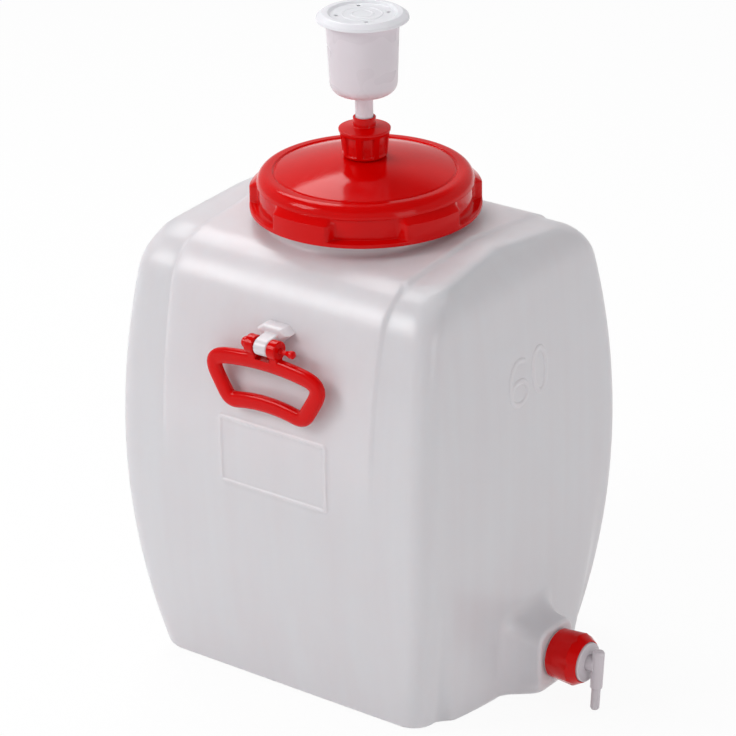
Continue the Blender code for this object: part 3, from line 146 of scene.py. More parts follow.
def milky_polyethylene():
    material, tree, shader, place = new_finish("milky blow moulded polyethylene")
    clouds = add(tree, "ShaderNodeTexNoise", {"Vector": place, "Scale": 1 / CLOUD, "Detail": 2.0})
    drawn = add(tree, "ShaderNodeMapping", {
        "Vector": place, "Scale": (1 / STREAK_WIDTH, 1 / STREAK_WIDTH, 1 / STREAK_LENGTH)})
    streaks = add(tree, "ShaderNodeTexNoise", {"Vector": drawn, "Scale": 1.0, "Detail": 2.0})
    both = add(tree, "ShaderNodeMath", {0: clouds, 1: streaks}, operation="ADD")
    tint = add(tree, "ShaderNodeMapRange", {0: both, 1: 0.4, 2: 1.6, 3: 0.0, 4: 1.0})
    colour = add(tree, "ShaderNodeMix", {"Factor": tint, "A": linear("#ddd5d9"),
                                         "B": linear("#e1dee2")}, data_type="RGBA")
    rough = add(tree, "ShaderNodeMapRange", {0: clouds, 1: 0.3, 2: 0.7, 3: 0.28, 4: 0.36})
    waves = add(tree, "ShaderNodeTexNoise", {"Vector": place, "Scale": 1 / WAVE, "Detail": 1.0})
    wavy = add(tree, "ShaderNodeBump", {"Height": waves, "Strength": 0.25, "Distance": 0.0012})
    peel = add(tree, "ShaderNodeTexNoise", {"Vector": place, "Scale": 1 / PEEL, "Detail": 2.0})
    skin = add(tree, "ShaderNodeBump", {"Height": peel, "Strength": 0.10, "Distance": 0.0004,
                                        "Normal": wavy})
    wire(tree, shader, {"Base Color": colour.outputs["Result"], "Roughness": rough, "Normal": skin,
                        "IOR": 1.54, "Subsurface Weight": 0.45, "Subsurface Scale": 0.012,
                        "Subsurface Radius": (1.0, 0.8, 0.75)})
    return material


milk = milky_polyethylene()
print(milk.name, "has", len(milk.node_tree.nodes), "nodes")

# %% [markdown]
# Lid, cap, handles, pins and nut are injection moulded in red polypropylene from a polished
# mould. One even gloss would look like glass: flow marks, shrinkage and rubbing make the real
# reflections waver a little, so the roughness and a faint bump follow two sizes of noise.

# %% Red polypropylene
FLOW, RUB = 0.035, 0.009


def red_polypropylene():
    material, tree, shader, place = new_finish("red injection moulded polypropylene")
    flow = add(tree, "ShaderNodeTexNoise", {"Vector": place, "Scale": 1 / FLOW, "Detail": 3.0,
                                            "Distortion": 0.6})
    colour = add(tree, "ShaderNodeMix", {"Factor": flow, "A": linear("#cc0000"),
                                         "B": linear("#da0101")}, data_type="RGBA")
    rub = add(tree, "ShaderNodeTexNoise", {"Vector": place, "Scale": 1 / RUB, "Detail": 4.0})
    rough = add(tree, "ShaderNodeMapRange", {0: rub, 1: 0.3, 2: 0.7, 3: 0.09, 4: 0.16})
    sink = add(tree, "ShaderNodeBump", {"Height": flow, "Strength": 0.18, "Distance": 0.0008})
    wire(tree, shader, {"Base Color": colour.outputs["Result"], "Roughness": rough, "Normal": sink,
                        "IOR": 1.49, "Specular IOR Level": 0.18})
    return material


red = red_polypropylene()
print(red.name, "has", len(red.node_tree.nodes), "nodes")

# %% [markdown]
# Cup and bell are natural polypropylene without pigment, a cloudy, colourless plastic that passes
# soft light. The cover is drawn in a paler, cooler shade of it, which is painted light: the cool
# top light on its upward face. The tap is a greyer, thicker moulding. Glass-like refraction would
# show what the real haze hides, so a translucent share is mixed in instead.

# %% Translucent polypropylene
HAZE = 0.030


def clear_polypropylene(kind, pale, deep, through, rough_low, rough_high):
    material, tree, shader, place = new_finish(kind + " injection moulded polypropylene")
    haze = add(tree, "ShaderNodeTexNoise", {"Vector": place, "Scale": 1 / HAZE, "Detail": 1.0})
    colour = add(tree, "ShaderNodeMix", {"Factor": haze, "A": linear(deep), "B": linear(pale)},
                 data_type="RGBA")
    rough = add(tree, "ShaderNodeMapRange", {0: haze, 1: 0.3, 2: 0.7, 3: rough_low, 4: rough_high})
    ripple = add(tree, "ShaderNodeBump", {"Height": haze, "Strength": 0.05, "Distance": 0.0005})
    wire(tree, shader, {"Base Color": colour.outputs["Result"], "Roughness": rough, "IOR": 1.49,
                        "Normal": ripple, "Subsurface Weight": 0.4, "Subsurface Scale": 0.003,
                        "Subsurface Radius": (1.0, 0.9, 0.95)})
    glow = add(tree, "ShaderNodeBsdfTranslucent", {"Color": colour.outputs["Result"]})
    both = add(tree, "ShaderNodeMixShader", {0: through, 1: shader, 2: glow})
    wire(tree, tree.nodes["Material Output"], {"Surface": both})
    return material


clear = clear_polypropylene("natural", "#f3ebf2", "#f0e7ee", 0.15, 0.24, 0.32)
# The cover's paler, cooler colour is painted top light on its upward face.
bluish = clear_polypropylene("bluish", "#f7f7fd", "#f3f3fb", 0.10, 0.18, 0.26)
grey = clear_polypropylene("greyish", "#ece5ea", "#e0d8dd", 0.20, 0.18, 0.28)
print("clear plastics:", [m.name for m in (clear, bluish, grey)])

# %% [markdown]
# The seals are pale silicone rubber, cut or moulded matt. A flat colour would look like card, so a
# fine dusty grain of about 1.5 mm breaks both the colour and the light.

# %% Pale rubber
DUST = 0.0015


def pale_rubber():
    material, tree, shader, place = new_finish("pale moulded silicone rubber")
    dust = add(tree, "ShaderNodeTexNoise", {"Vector": place, "Scale": 1 / DUST, "Detail": 3.0})
    colour = add(tree, "ShaderNodeMix", {"Factor": dust, "A": linear("#cfcbc0"),
                                         "B": linear("#e0ddd4")}, data_type="RGBA")
    grain = add(tree, "ShaderNodeBump", {"Height": dust, "Strength": 0.2, "Distance": 0.0003})
    wire(tree, shader, {"Base Color": colour.outputs["Result"], "Normal": grain,
                        "Roughness": 0.65})
    return material


rubber = pale_rubber()
print(rubber.name, "has", len(rubber.node_tree.nodes), "nodes")

# %% [markdown]
# Most pieces are turned: an outline in the plane of radius and height goes round an axis. Moulded
# plastic has no sharp edge. A Bevel modifier could round the edges afterwards, but rounding the
# outline's corners first is exact and costs nothing, and a point just past each rounding keeps the
# smooth shading of the flat stretch beside it flat.

# %% Round the corners of an outline
def soften(outline, steps=4):
    """Rounds the corners of an outline of (radius, height, rounding) corners."""
    result = []
    for index, (radius, height, rounding) in enumerate(outline):
        here = Vector((radius, height))
        if rounding == 0:
            result.append(tuple(here))
            continue
        back = Vector(outline[index - 1][:2]) - here
        ahead = Vector(outline[(index + 1) % len(outline)][:2]) - here
        half = back.angle(ahead) / 2
        reach = min(rounding / math.tan(half), 0.45 * back.length, 0.45 * ahead.length)
        bend = reach * math.tan(half)
        first, last = here + back.normalized() * reach, here + ahead.normalized() * reach
        inwards = (back.normalized() + ahead.normalized()).normalized()
        middle = here + inwards * bend / math.sin(half)
        holds = [min(reach + 0.5 * bend, 0.49 * side.length) for side in (back, ahead)]
        result.append(tuple(here + back.normalized() * holds[0]))
        start, turn = first - middle, (first - middle).angle_signed(last - middle)
        for step in range(steps + 1):
            angle = -turn * step / steps
            spun = Vector((start.x * math.cos(angle) - start.y * math.sin(angle),
                           start.x * math.sin(angle) + start.y * math.cos(angle)))
            result.append(tuple(middle + spun))
        result.append(tuple(here + ahead.normalized() * holds[1]))
    return result


square = [(0.01, 0.0, 0.002), (0.02, 0.0, 0.002), (0.02, 0.01, 0.002), (0.01, 0.01, 0.002)]
print("a square of 4 corners becomes", len(soften(square)), "points")

# %% [markdown]
# Every new piece ends as a plain mesh in one object at the origin, with its faces outwards. It then
# rides on its body, and the CAD node that it stands for is hidden.

# %% Make a piece, turn an outline, hand a piece over
def link(name, mesh, finish):
    mesh.materials.append(finish)
    item = bpy.data.objects.new(name, mesh)
    bpy.context.scene.collection.objects.link(item)
    return item


def piece_from(name, points, faces, finish):
    """A named object whose faces point outwards and shade smoothly."""
    mesh = bpy.data.meshes.new(name)
    mesh.from_pydata([tuple(p) for p in points], [], faces)
    shape = bmesh.new()
    shape.from_mesh(mesh)
    bmesh.ops.remove_doubles(shape, verts=shape.verts, dist=1e-7)
    bmesh.ops.recalc_face_normals(shape, faces=shape.faces)
    shape.to_mesh(mesh)
    shape.free()
    mesh.shade_smooth()
    return link(name, mesh, finish)


def turned(name, outline, finish, columns=96):
    """Turns an outline about Z; one of (radius, height, rounding) corners is softened first."""
    if len(outline[0]) == 3:
        outline = soften(outline)
    points, rows, faces = [], [], []
    for radius, height in outline:
        if radius < 1e-7:
            rows.append([len(points)] * columns)
            points.append((0.0, 0.0, height))
            continue
        rows.append(range(len(points), len(points) + columns))
        turns = [math.tau * c / columns for c in range(columns)]
        points += [(radius * math.cos(t), radius * math.sin(t), height) for t in turns]
    for low, high in zip(rows, rows[1:] + rows[:1]):
        for c in range(columns):
            n = (c + 1) % columns
            corners = list(dict.fromkeys((low[c], low[n], high[n], high[c])))
            if len(corners) > 2:
                faces.append(corners)
    return piece_from(name, points, faces, finish)


def dress(item, body, slot_name, *nodes):
    """Hands a finished piece to the frame."""
    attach(item, body)
    if nodes:
        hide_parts(*nodes)
    print(item.name, "rides on", body, "with", len(item.data.polygons), "faces")


# %% [markdown]
# The barrel's shell is one blow moulded skin. It could be a subdivided cage pulled into shape, but
# its walls follow plain rules, so rings of points climb from the middle of the base up the walls,
# over the shoulders, across the arched deck and up the neck, then go down inside with the wall's
# thickness between. The rules are those of the solid model; only the rings and columns are closer.

# %% Sizes of the shell, in metres
WALL = 0.0032
BELLY_HEIGHT, FACE_SHOULDER, PIN_HEIGHT, PIN_OUT = 0.250, 0.441, 0.415, 0.18802
# half widths of the broad faces and half lengths of the ends at the foot, belly and shoulder
FACE_FOOT, FACE_BELLY, FACE_TOP = 0.155, 0.181, 0.1573
END_FOOT, END_BELLY, END_TOP = 0.174, 0.203, 0.1936
# the end shoulder's arc starts below the deck's crown and would crest above it
END_DROP, END_CREST = 0.0507, 0.0177
FACE_RADIUS, DECK_SLOPE, EDGE_ANGLE = 0.0616, math.radians(5.3), math.radians(70.6)
CORNER, FOOT_EDGE = 0.0246, 0.0080
PANEL_HALF, PANEL_RUN, PANEL_RAISE, PANEL_FADE = 0.13105, 0.0070, 0.0025, (0.235, 0.330)
END_PANEL_FOOT, END_PANEL_BOW, END_PANEL_SHARE = 0.201, 0.014, 0.9
NECK, NECK_WALL, NECK_TOP, NECK_FILLET = 0.1045, 0.0035, 0.54047, 0.0045
FEATURE = 0.0095
LABEL = (FEATURE - 0.0695, FEATURE + 0.0695, 0.24317, 0.31917)
LABEL_CORNER, LABEL_RAISE = 0.004, 0.0013
LABEL_OUTER_EDGE, LABEL_INNER_EDGE = (-0.0012, 0.0002), (0.0030, 0.0044)

FACE_LEAN = math.atan(2 * (FACE_BELLY - FACE_TOP) / (FACE_SHOULDER - BELLY_HEIGHT))
FACE_CENTRE = (FACE_TOP - FACE_RADIUS * math.cos(FACE_LEAN),
               FACE_SHOULDER - FACE_RADIUS * math.sin(FACE_LEAN))
FLAT_EDGE = FACE_CENTRE[0] + FACE_RADIUS * math.sin(DECK_SLOPE)
CROWN = (FACE_CENTRE[1] + FACE_RADIUS * math.cos(DECK_SLOPE)
         + FLAT_EDGE * math.tan(DECK_SLOPE))
END_SHOULDER = CROWN - END_DROP
END_LEAN = math.atan(2 * (END_BELLY - END_TOP) / (END_SHOULDER - BELLY_HEIGHT))
END_RADIUS = (END_DROP + END_CREST) / (1 - math.sin(END_LEAN))
END_CENTRE = (END_TOP - END_RADIUS * math.cos(END_LEAN),
              END_SHOULDER - END_RADIUS * math.sin(END_LEAN))
print("deck crown at %.4f m, end shoulder radius %.4f m" % (CROWN, END_RADIUS))

# %% [markdown]
# Each wall swells from its foot to the belly and leans in again to its shoulder, along two
# parabolas with one level tangent between them. A circular arc then turns it into the deck. NumPy
# works out whole rings at once, which a loop over points would do a hundred times slower.

# %% Rules of the shell
def ease(value, low, high):
    """Rises smoothly from 0 at low to 1 at high."""
    share = np.clip((value - low) / (high - low), 0.0, 1.0)
    return share * share * (3 - 2 * share)


def swell(height, foot, belly, shoulder, top):
    """Half length or half width of a wall below its shoulder."""
    low = (BELLY_HEIGHT - height) / BELLY_HEIGHT
    high = (height - BELLY_HEIGHT) / (top - BELLY_HEIGHT)
    return np.where(height < BELLY_HEIGHT, belly - (belly - foot) * low ** 2,
                    belly - (belly - shoulder) * high ** 2)


def half_length(height, foot):
    square = np.maximum(END_RADIUS ** 2 - (height - END_CENTRE[1]) ** 2, 0.0)
    arc = END_CENTRE[0] + np.sqrt(square)
    low = swell(height, foot, END_BELLY, END_TOP, END_SHOULDER)
    return np.where(height <= END_SHOULDER, low, arc)


def half_width(height):
    square = np.maximum(FACE_RADIUS ** 2 - (height - FACE_CENTRE[1]) ** 2, 0.0)
    arc = FACE_CENTRE[0] + np.sqrt(square)
    low = swell(height, FACE_FOOT, FACE_BELLY, FACE_TOP, FACE_SHOULDER)
    return np.where(height <= FACE_SHOULDER, low, arc)


def deck_height(across):
    across = np.abs(across)
    reach = np.clip(across - FACE_CENTRE[0], 0.0, FACE_RADIUS)
    arc = FACE_CENTRE[1] + np.sqrt(FACE_RADIUS ** 2 - reach ** 2)
    return np.where(across > FLAT_EDGE, arc, CROWN - across * math.tan(DECK_SLOPE))


def end_foot(share):
    """The end panel bows out at its foot and steps back to the corners."""
    share = np.abs(share)
    bowed = END_PANEL_FOOT - END_PANEL_BOW * (np.minimum(share, 0.95) / END_PANEL_SHARE) ** 2
    step = ease(share, 0.85, 1.0)
    return bowed * (1 - step) + END_FOOT * step


def panel_relief(along, height):
    """The middle panel stands proud of the broad face and fades in round the belly."""
    side = 1 - ease(np.abs(along), PANEL_HALF, PANEL_HALF + PANEL_RUN)
    return PANEL_RAISE * side * ease(height, *PANEL_FADE)


def frame_relief(along, height):
    """A low frame with rounded corners marks the place of a label."""
    half = np.array(((LABEL[1] - LABEL[0]) / 2, (LABEL[3] - LABEL[2]) / 2)) - LABEL_CORNER
    dx = np.abs(along - (LABEL[0] + LABEL[1]) / 2) - half[0]
    dz = np.abs(height - (LABEL[2] + LABEL[3]) / 2) - half[1]
    outside = np.hypot(np.maximum(dx, 0), np.maximum(dz, 0))
    inside = LABEL_CORNER - outside - np.minimum(np.maximum(dx, dz), 0)
    return LABEL_RAISE * (ease(inside, *LABEL_OUTER_EDGE) - ease(inside, *LABEL_INNER_EDGE))


print("at the belly: half width %.3f m, half length %.3f m"
      % (half_width(BELLY_HEIGHT), half_length(BELLY_HEIGHT, END_FOOT)))

# %% [markdown]
# Each ring has the same list of columns: across an end face as shares of its width, round a corner
# as angles, and along a broad face at places in X. Even spacing would blur the panel's edge and
# the label frame or waste points elsewhere, so the columns crowd together where the face steps.

# %% Columns of the shell
STEP, COARSE_STEP, SHARE_STEP = 0.0056, 0.020, 0.040
CORNER_STEPS, MARGIN_STEPS, FOOT_RINGS = 10, 5, 6


def spread(low, high, step, stops=()):
    """Places from low to high about a step apart, with the stops among them."""
    ends = [low] + sorted(s for s in stops if low < s < high) + [high]
    places = [low]
    for a, b in zip(ends, ends[1:]):
        count = max(int(round((b - a) / step)), 1)
        places += [a + (b - a) * (k + 1) / count for k in range(count)]
    return np.array(places)


def line_stops(low, high):
    """Places across the label frame's line, at both of its sides."""
    inwards = (-0.0013, -0.0007, 0.0, 0.0005, 0.0028, 0.0034, 0.0040, 0.0046)
    return [low + s for s in inwards] + [high - s for s in inwards]


panel_stops = [sign * (PANEL_HALF + PANEL_RUN * share) for sign in (-1, 1)
               for share in (0, 0.2, 0.4, 0.6, 0.8)]
places = spread(-PANEL_HALF - PANEL_RUN, PANEL_HALF + PANEL_RUN, 0.0052,
                panel_stops + line_stops(LABEL[0], LABEL[1]))
share_stops = [s * k for s in (-1, 1) for k in (0.85, 0.88, 0.91, 0.94, 0.97)]
shares = spread(-1.0, 1.0, SHARE_STEP, share_stops)[1:-1]
margin_shares = [k / MARGIN_STEPS for k in range(MARGIN_STEPS - 1, 0, -1)]
sides = []
for sign in (1, -1):
    sides += [("end", sign, 0, share * sign) for share in shares]
    first = 0.0 if sign > 0 else math.pi
    sides += [("corner", sign, sign, first + math.pi / 2 * k / CORNER_STEPS)
              for k in range(CORNER_STEPS + 1)]
    sides += [("margin", sign, sign, t) for t in margin_shares]
    sides += [("broad", sign, sign, x) for x in places[::-sign]]
    sides += [("margin", -sign, sign, t) for t in margin_shares[::-1]]
    first = math.pi / 2 if sign > 0 else -math.pi / 2
    sides += [("corner", -sign, sign, first + math.pi / 2 * k / CORNER_STEPS)
              for k in range(CORNER_STEPS + 1)]
kinds = np.array([s[0] for s in sides])
sign_x, sign_y, value = (np.array([s[k] for s in sides], float) for k in (1, 2, 3))
ends, margins, broads = (kinds == k for k in ("end", "margin", "broad"))
print("columns in a ring:", len(sides))

# %% [markdown]
# A ring lies at one height on the walls and rises towards the crown of the deck once it is past
# the shoulder. The same function makes the outer and the inner skin: the inset draws a ring in by
# the wall's thickness, and the tuck draws it in round the edge of the foot.

# %% Rings of the walls
def ring(height, width, out, tuck, inset, last, relief):
    """One ring of the shell's outer or inner face as an array of points."""
    radius = CORNER - inset
    across = np.where(ends, value * (width - radius),
                      sign_y * (width - radius) + radius * np.sin(value))
    foot = np.where(ends, end_foot(value), END_FOOT)
    above = np.maximum(deck_height(across) - inset - last, 0.0)
    raised = height + ease(height, FACE_SHOULDER, last) * above
    length = half_length(raised, foot) - inset - tuck
    limit = float(half_length(height, END_FOOT)) - inset - tuck - radius
    step_end = PANEL_HALF + PANEL_RUN
    x = np.where(ends, sign_x * length, sign_x * (length - radius) + radius * np.cos(value))
    x = np.where(margins, sign_x * (step_end + value * (limit - step_end)), x)
    x = np.where(broads, value, x)
    rise = np.zeros(len(x))
    if relief:
        rise = panel_relief(x, height) + np.where(sign_y < 0, frame_relief(x, height), 0.0)
    flat = margins | broads
    y = np.where(flat, sign_y * (width + rise * out[0]), across)
    z = np.where(flat, height + rise * out[1], raised)
    return np.column_stack((x, y, z))


def wall_rings(inset, heights, shoulder_steps, relief):
    """Rings from the base's edge to the deck's edge."""
    last = FACE_CENTRE[1] + (FACE_RADIUS - inset) * math.sin(EDGE_ANGLE)
    edge = FOOT_EDGE - inset
    rings = []
    for angle in np.linspace(0, math.pi / 2, FOOT_RINGS + 1)[:-1]:
        height, tuck = inset + edge * (1 - math.cos(angle)), edge * (1 - math.sin(angle))
        width = half_width(height) - inset - tuck
        rings.append(ring(height, width, (1.0, 0.0), tuck, inset, last, False))
    for height in heights:
        slope = float(half_width(height + 0.001) - half_width(height - 0.001)) / 0.002
        out = (1 / math.hypot(1, slope), -slope / math.hypot(1, slope))
        width = float(half_width(height)) - inset
        rings.append(ring(height, width, out, 0.0, inset, last, relief))
    for step in range(1, shoulder_steps + 1):
        angle = FACE_LEAN + (EDGE_ANGLE - FACE_LEAN) * step / shoulder_steps
        out = (math.cos(angle), math.sin(angle))
        width, height = (FACE_CENTRE[k] + (FACE_RADIUS - inset) * out[k] for k in (0, 1))
        rings.append(ring(height, width, out, 0.0, inset, last, relief))
    return rings


low_heights = list(spread(FOOT_EDGE, 0.120, STEP))
outer_heights = low_heights + list(spread(0.120, FACE_SHOULDER, STEP,
                                          line_stops(LABEL[2], LABEL[3])))[1:]
inner_heights = low_heights + list(spread(0.120, FACE_SHOULDER, COARSE_STEP))[1:]
outer = wall_rings(0.0, outer_heights, 14, True)
inner = wall_rings(WALL, inner_heights, 6, False)
print("wall rings outside:", len(outer), "inside:", len(inner))

# %% [markdown]
# The deck closes to the neck in rings that change from the shell's rounded outline to a circle, so
# no separate disc has to be joined on. The neck rises from a small fillet, and its lip is fully
# rounded, as a trimmed and flamed lip is. The crease over each end is then softened by averaging.

# %% Deck, neck and mouth
def deck_points(x, y, inset, relief):
    rise = panel_relief(x, deck_height(y)) if relief else np.zeros(len(x))
    lean = np.clip((np.abs(y) - FACE_CENTRE[0]) / FACE_RADIUS, math.sin(DECK_SLOPE), 1.0)
    raised = deck_height(y) - inset + rise * np.sqrt(1 - lean ** 2)
    return np.column_stack((x, y + np.sign(y) * rise * lean, raised))


def deck_rings(edge_ring, radius, inset, count, relief):
    turn = np.arctan2(edge_ring[:, 1], edge_ring[:, 0])
    target = np.column_stack((radius * np.cos(turn), radius * np.sin(turn)))
    rings = []
    for step in range(1, count + 1):
        flat = edge_ring[:, :2] + (target - edge_ring[:, :2]) * step / count
        rings.append(deck_points(flat[:, 0], flat[:, 1], inset, relief))
    return rings, turn


def round_ring(turn, radius, height):
    level = height + np.zeros(len(turn))
    return np.column_stack((radius * np.cos(turn), radius * np.sin(turn), level))


crease = len(outer) - 1
plain_edge = wall_rings(0.0, [FACE_SHOULDER], 1, False)[-1]
deck, turn = deck_rings(plain_edge, NECK + NECK_FILLET, 0.0, 32, True)
outer += deck
for angle in np.linspace(0, math.pi / 2, 6)[1:]:
    height = deck[-1][:, 2] + NECK_FILLET * (1 - math.cos(angle))
    outer.append(round_ring(turn, NECK + NECK_FILLET * (1 - math.sin(angle)), height))
lip, mouth = NECK_WALL / 2, NECK - NECK_WALL
neck_low = outer[-1][:, 2].copy()
for share in np.linspace(0, 1, 7)[1:]:
    outer.append(round_ring(turn, NECK, neck_low + (NECK_TOP - lip - neck_low) * share))
for angle in np.linspace(0, math.pi, 9)[1:]:
    outer.append(round_ring(turn, NECK - lip + lip * math.cos(angle),
                            NECK_TOP - lip + lip * math.sin(angle)))

inner_deck = deck_rings(inner[-1], mouth, WALL, 8, False)[0]
inner_deck[-1] = round_ring(turn, mouth, deck_height(mouth * np.sin(turn)) - WALL)
for share in (0.35, 0.7):
    height = (1 - share) * (NECK_TOP - lip) + share * inner_deck[-1][:, 2]
    outer.append(round_ring(turn, mouth, height))

rings = np.array(outer)
for _ in range(10):
    for row in range(crease - 2, crease + 5):
        rings[row] += 0.5 * ((rings[row - 1] + rings[row + 1]) / 2 - rings[row])
outer = list(rings)
print("rings outside:", len(outer), "inside:", len(inner) + len(inner_deck))

# %% [markdown]
# The tap boss swells out of the foot of one end. A Boolean would leave a hard seam where the real
# plastic flows, so a window is left in the end face's rings, and loops of points lead from its rim
# over a fillet, along the boss, round its edge, out to the end of the spigot, and back through its
# bore to a matching window in the inner skin.

# %% Rules of the tap boss
TAP_HEIGHT, BOSS_ROOT, BOSS_FACE, BOSS_HEEL = 0.0510, 0.19803, 0.24103, 0.034
BOSS_HALF, BOSS_TOP, BOSS_LOW, BOSS_CORNER = 0.0315, 0.0830, 0.0015, 0.016
BOSS_FLARE, BOSS_RISE, HEEL_RISE = 0.0185, 0.0180, 0.0185
BOSS_FILLETS, BOSS_EDGES = (0.006, 0.002), (0.004, 0.001)
WINDOW_SHARE = 0.49


def wall_place(across, height, inset):
    """X of the end face at a place on it."""
    edge = FOOT_EDGE - inset
    depth = np.clip((height - inset) / edge, 0.0, 1.0)
    tuck = edge * (1 - np.sqrt(1 - (1 - depth) ** 2))
    share = across / (half_width(height) - inset - tuck - CORNER + inset)
    return half_length(height, end_foot(share)) - inset - tuck


def boss_reach(angle, along, inset, grow=0.0, tuck=0.0):
    """Distance from the tap's axis to the boss's outline in each direction."""
    station = along + inset
    flare = (1 - np.clip((station - BOSS_ROOT) / (BOSS_FACE - BOSS_ROOT), 0, 1)) ** 3
    bend = np.clip(1 - (BOSS_FACE - station) / BOSS_HEEL, 0, 1)
    shrink = inset + tuck
    half = BOSS_HALF + BOSS_FLARE * flare + grow - shrink
    top = BOSS_TOP + BOSS_RISE * flare + grow - shrink
    low = BOSS_LOW + HEEL_RISE * (1 - np.sqrt(1 - bend ** 2)) + shrink
    corner = max(BOSS_CORNER - shrink, 0.003)
    centre, rise = (top + low) / 2 - TAP_HEIGHT, (top - low) / 2
    near, far = np.zeros(len(angle)), np.full(len(angle), 0.2)
    for _ in range(40):
        reach = (near + far) / 2
        dy = np.abs(reach * np.cos(angle)) - (half - corner)
        dz = np.abs(reach * np.sin(angle) - centre) - (rise - corner)
        outside = np.hypot(np.maximum(dy, 0), np.maximum(dz, 0))
        gap = outside + np.minimum(np.maximum(dy, dz), 0) - corner
        near, far = np.where(gap < 0, reach, near), np.where(gap < 0, far, reach)
    return (near + far) / 2


def about_tap(angle, reach, along):
    """Points round the tap's axis."""
    return np.column_stack((along + np.zeros(len(angle)), reach * np.cos(angle),
                            TAP_HEIGHT + reach * np.sin(angle)))


def boss_loops(rim, inset):
    """Loops from a window's rim over the wall and a fillet, then along the boss to its face."""
    angle = np.arctan2(rim[:, 2] - TAP_HEIGHT, rim[:, 1])
    fillet, edge = BOSS_FILLETS[inset > 0], BOSS_EDGES[inset > 0]
    wall = np.full(len(angle), 0.2)
    for _ in range(6):
        reach = boss_reach(angle, wall, inset, grow=fillet)
        foot = about_tap(angle, reach, 0.0)
        wall = wall_place(foot[:, 1], np.maximum(foot[:, 2], inset), inset)
    loops = []
    for share in np.linspace(0, 1, 6)[1:]:
        flat = rim[:, 1:] + (foot[:, 1:] - rim[:, 1:]) * share
        height = np.maximum(flat[:, 1], inset)
        loops.append(np.column_stack((wall_place(flat[:, 0], height, inset), flat[:, 0], height)))
    for bend in np.linspace(0, math.pi / 2, 8)[1:]:
        along = wall + fillet * (1 - math.cos(bend))
        reach = boss_reach(angle, along, inset, grow=fillet * (1 - math.sin(bend)))
        loops.append(about_tap(angle, reach, along))
    face = BOSS_FACE - inset
    start = wall + fillet
    for share in np.linspace(0, 1, 10)[1:]:
        along = start + (face - edge - start) * share
        loops.append(about_tap(angle, boss_reach(angle, along, inset), along))
    for bend in np.linspace(0, math.pi / 2, 6)[1:]:
        along = np.full(len(angle), face - edge + edge * math.sin(bend))
        reach = boss_reach(angle, along, inset, tuck=edge * (1 - math.cos(bend)))
        loops.append(about_tap(angle, reach, along))
    return loops, angle


window = [c for c in range(len(sides))
          if ends[c] and sign_x[c] > 0 and abs(value[c]) < WINDOW_SHARE]
window_top = FOOT_RINGS + len(low_heights) - 1
rim_keys = [(0, c) for c in window] + [(r, window[-1]) for r in range(1, window_top + 1)]
rim_keys += [(window_top, c) for c in window[-2::-1]]
rim_keys += [(r, window[0]) for r in range(window_top - 1, 0, -1)]
print("window:", len(window), "columns,", window_top, "rows,", len(rim_keys), "points round it")

# %% [markdown]
# The rings and loops are joined by strips of four sided faces into one closed skin. Bridging them
# with Blender's own tool would work too, but counting along the rows is exact and repeatable. The
# base closes in a fan at its middle, and the spigot is the last stretch of loops before the bore.

# %% Join the rings and loops into one skin
SPIGOT_RADIUS, SPIGOT_BORE = 0.0240, 0.0180
SPIGOT = [(0.0, 0.0250), (0.0002, 0.0244), (0.0009, SPIGOT_RADIUS)]
SPIGOT += [(step, SPIGOT_RADIUS) for step in (0.004, 0.010, 0.016, 0.022, 0.0240)]
SPIGOT += [(0.0247, 0.0238), (0.0250, 0.0233), (0.0250, 0.0187), (0.0247, 0.0182)]
SPIGOT += [(step, SPIGOT_BORE) for step in (0.0240, 0.016, 0.008, 0.001)]


def shell_mesh():
    rows, faces, points = [], [], []

    def row_of(array):
        rows.append(list(range(len(points), len(points) + len(array))))
        points.extend(map(tuple, array))
        return rows[-1]

    def pole(height, order):
        points.append((0.0, 0.0, height))
        tip = len(points) - 1
        for c in range(len(order)):
            faces.append((tip, order[c], order[(c + 1) % len(order)]))

    def strip(low, high, gap=()):
        for c in range(len(low)):
            n = (c + 1) % len(low)
            if not (c in gap and n in gap):
                faces.append((low[c], low[n], high[n], high[c]))

    def base(edge_ring, order, height):
        for share in (0.92, 0.6, 0.3):
            flat = edge_ring * share
            flat[:, 2] = height
            nearer = row_of(flat)
            strip(order, nearer)
            order = nearer
        pole(height, order)

    out_rows = [row_of(array) for array in outer]
    in_rows = [row_of(array) for array in inner]
    deck_in = [row_of(array) for array in inner_deck]
    for group in (out_rows, in_rows):
        for index in range(len(group) - 1):
            strip(group[index], group[index + 1], window if index < window_top else ())
    base(outer[0], out_rows[0], 0.0)
    base(inner[0], in_rows[0], WALL)
    chain = [in_rows[-1]] + deck_in + [out_rows[-1]]
    for low, high in zip(chain, chain[1:]):
        strip(low, high)
    loops_out, angle_out = boss_loops(np.array([outer[r][c] for r, c in rim_keys]), 0.0)
    loops_in, angle_in = boss_loops(np.array([inner[r][c] for r, c in rim_keys]), WALL)
    around = [[out_rows[r][c] for r, c in rim_keys]] + [row_of(a) for a in loops_out]
    face = loops_out[-1]
    first = about_tap(angle_out, SPIGOT[0][1], BOSS_FACE)
    around += [row_of(face + (first - face) * share) for share in (0.35, 0.7)]
    around += [row_of(about_tap(angle_out, reach, BOSS_FACE + step)) for step, reach in SPIGOT]
    bore = about_tap(angle_in, SPIGOT_BORE, BOSS_FACE - WALL)
    around += [row_of(bore), row_of((bore + loops_in[-1]) / 2)]
    around += [row_of(a) for a in loops_in[::-1]] + [[in_rows[r][c] for r, c in rim_keys]]
    for low, high in zip(around, around[1:]):
        strip(low, high)
    return points, faces


barrel = piece_from("barrel_shell", *shell_mesh(), milk)
rims = bmesh.new()
rims.from_mesh(barrel.data)
open_edges = sum(1 for e in rims.edges if not e.is_manifold)
print("shell:", len(barrel.data.polygons), "faces, open edges:", open_edges)
rims.free()

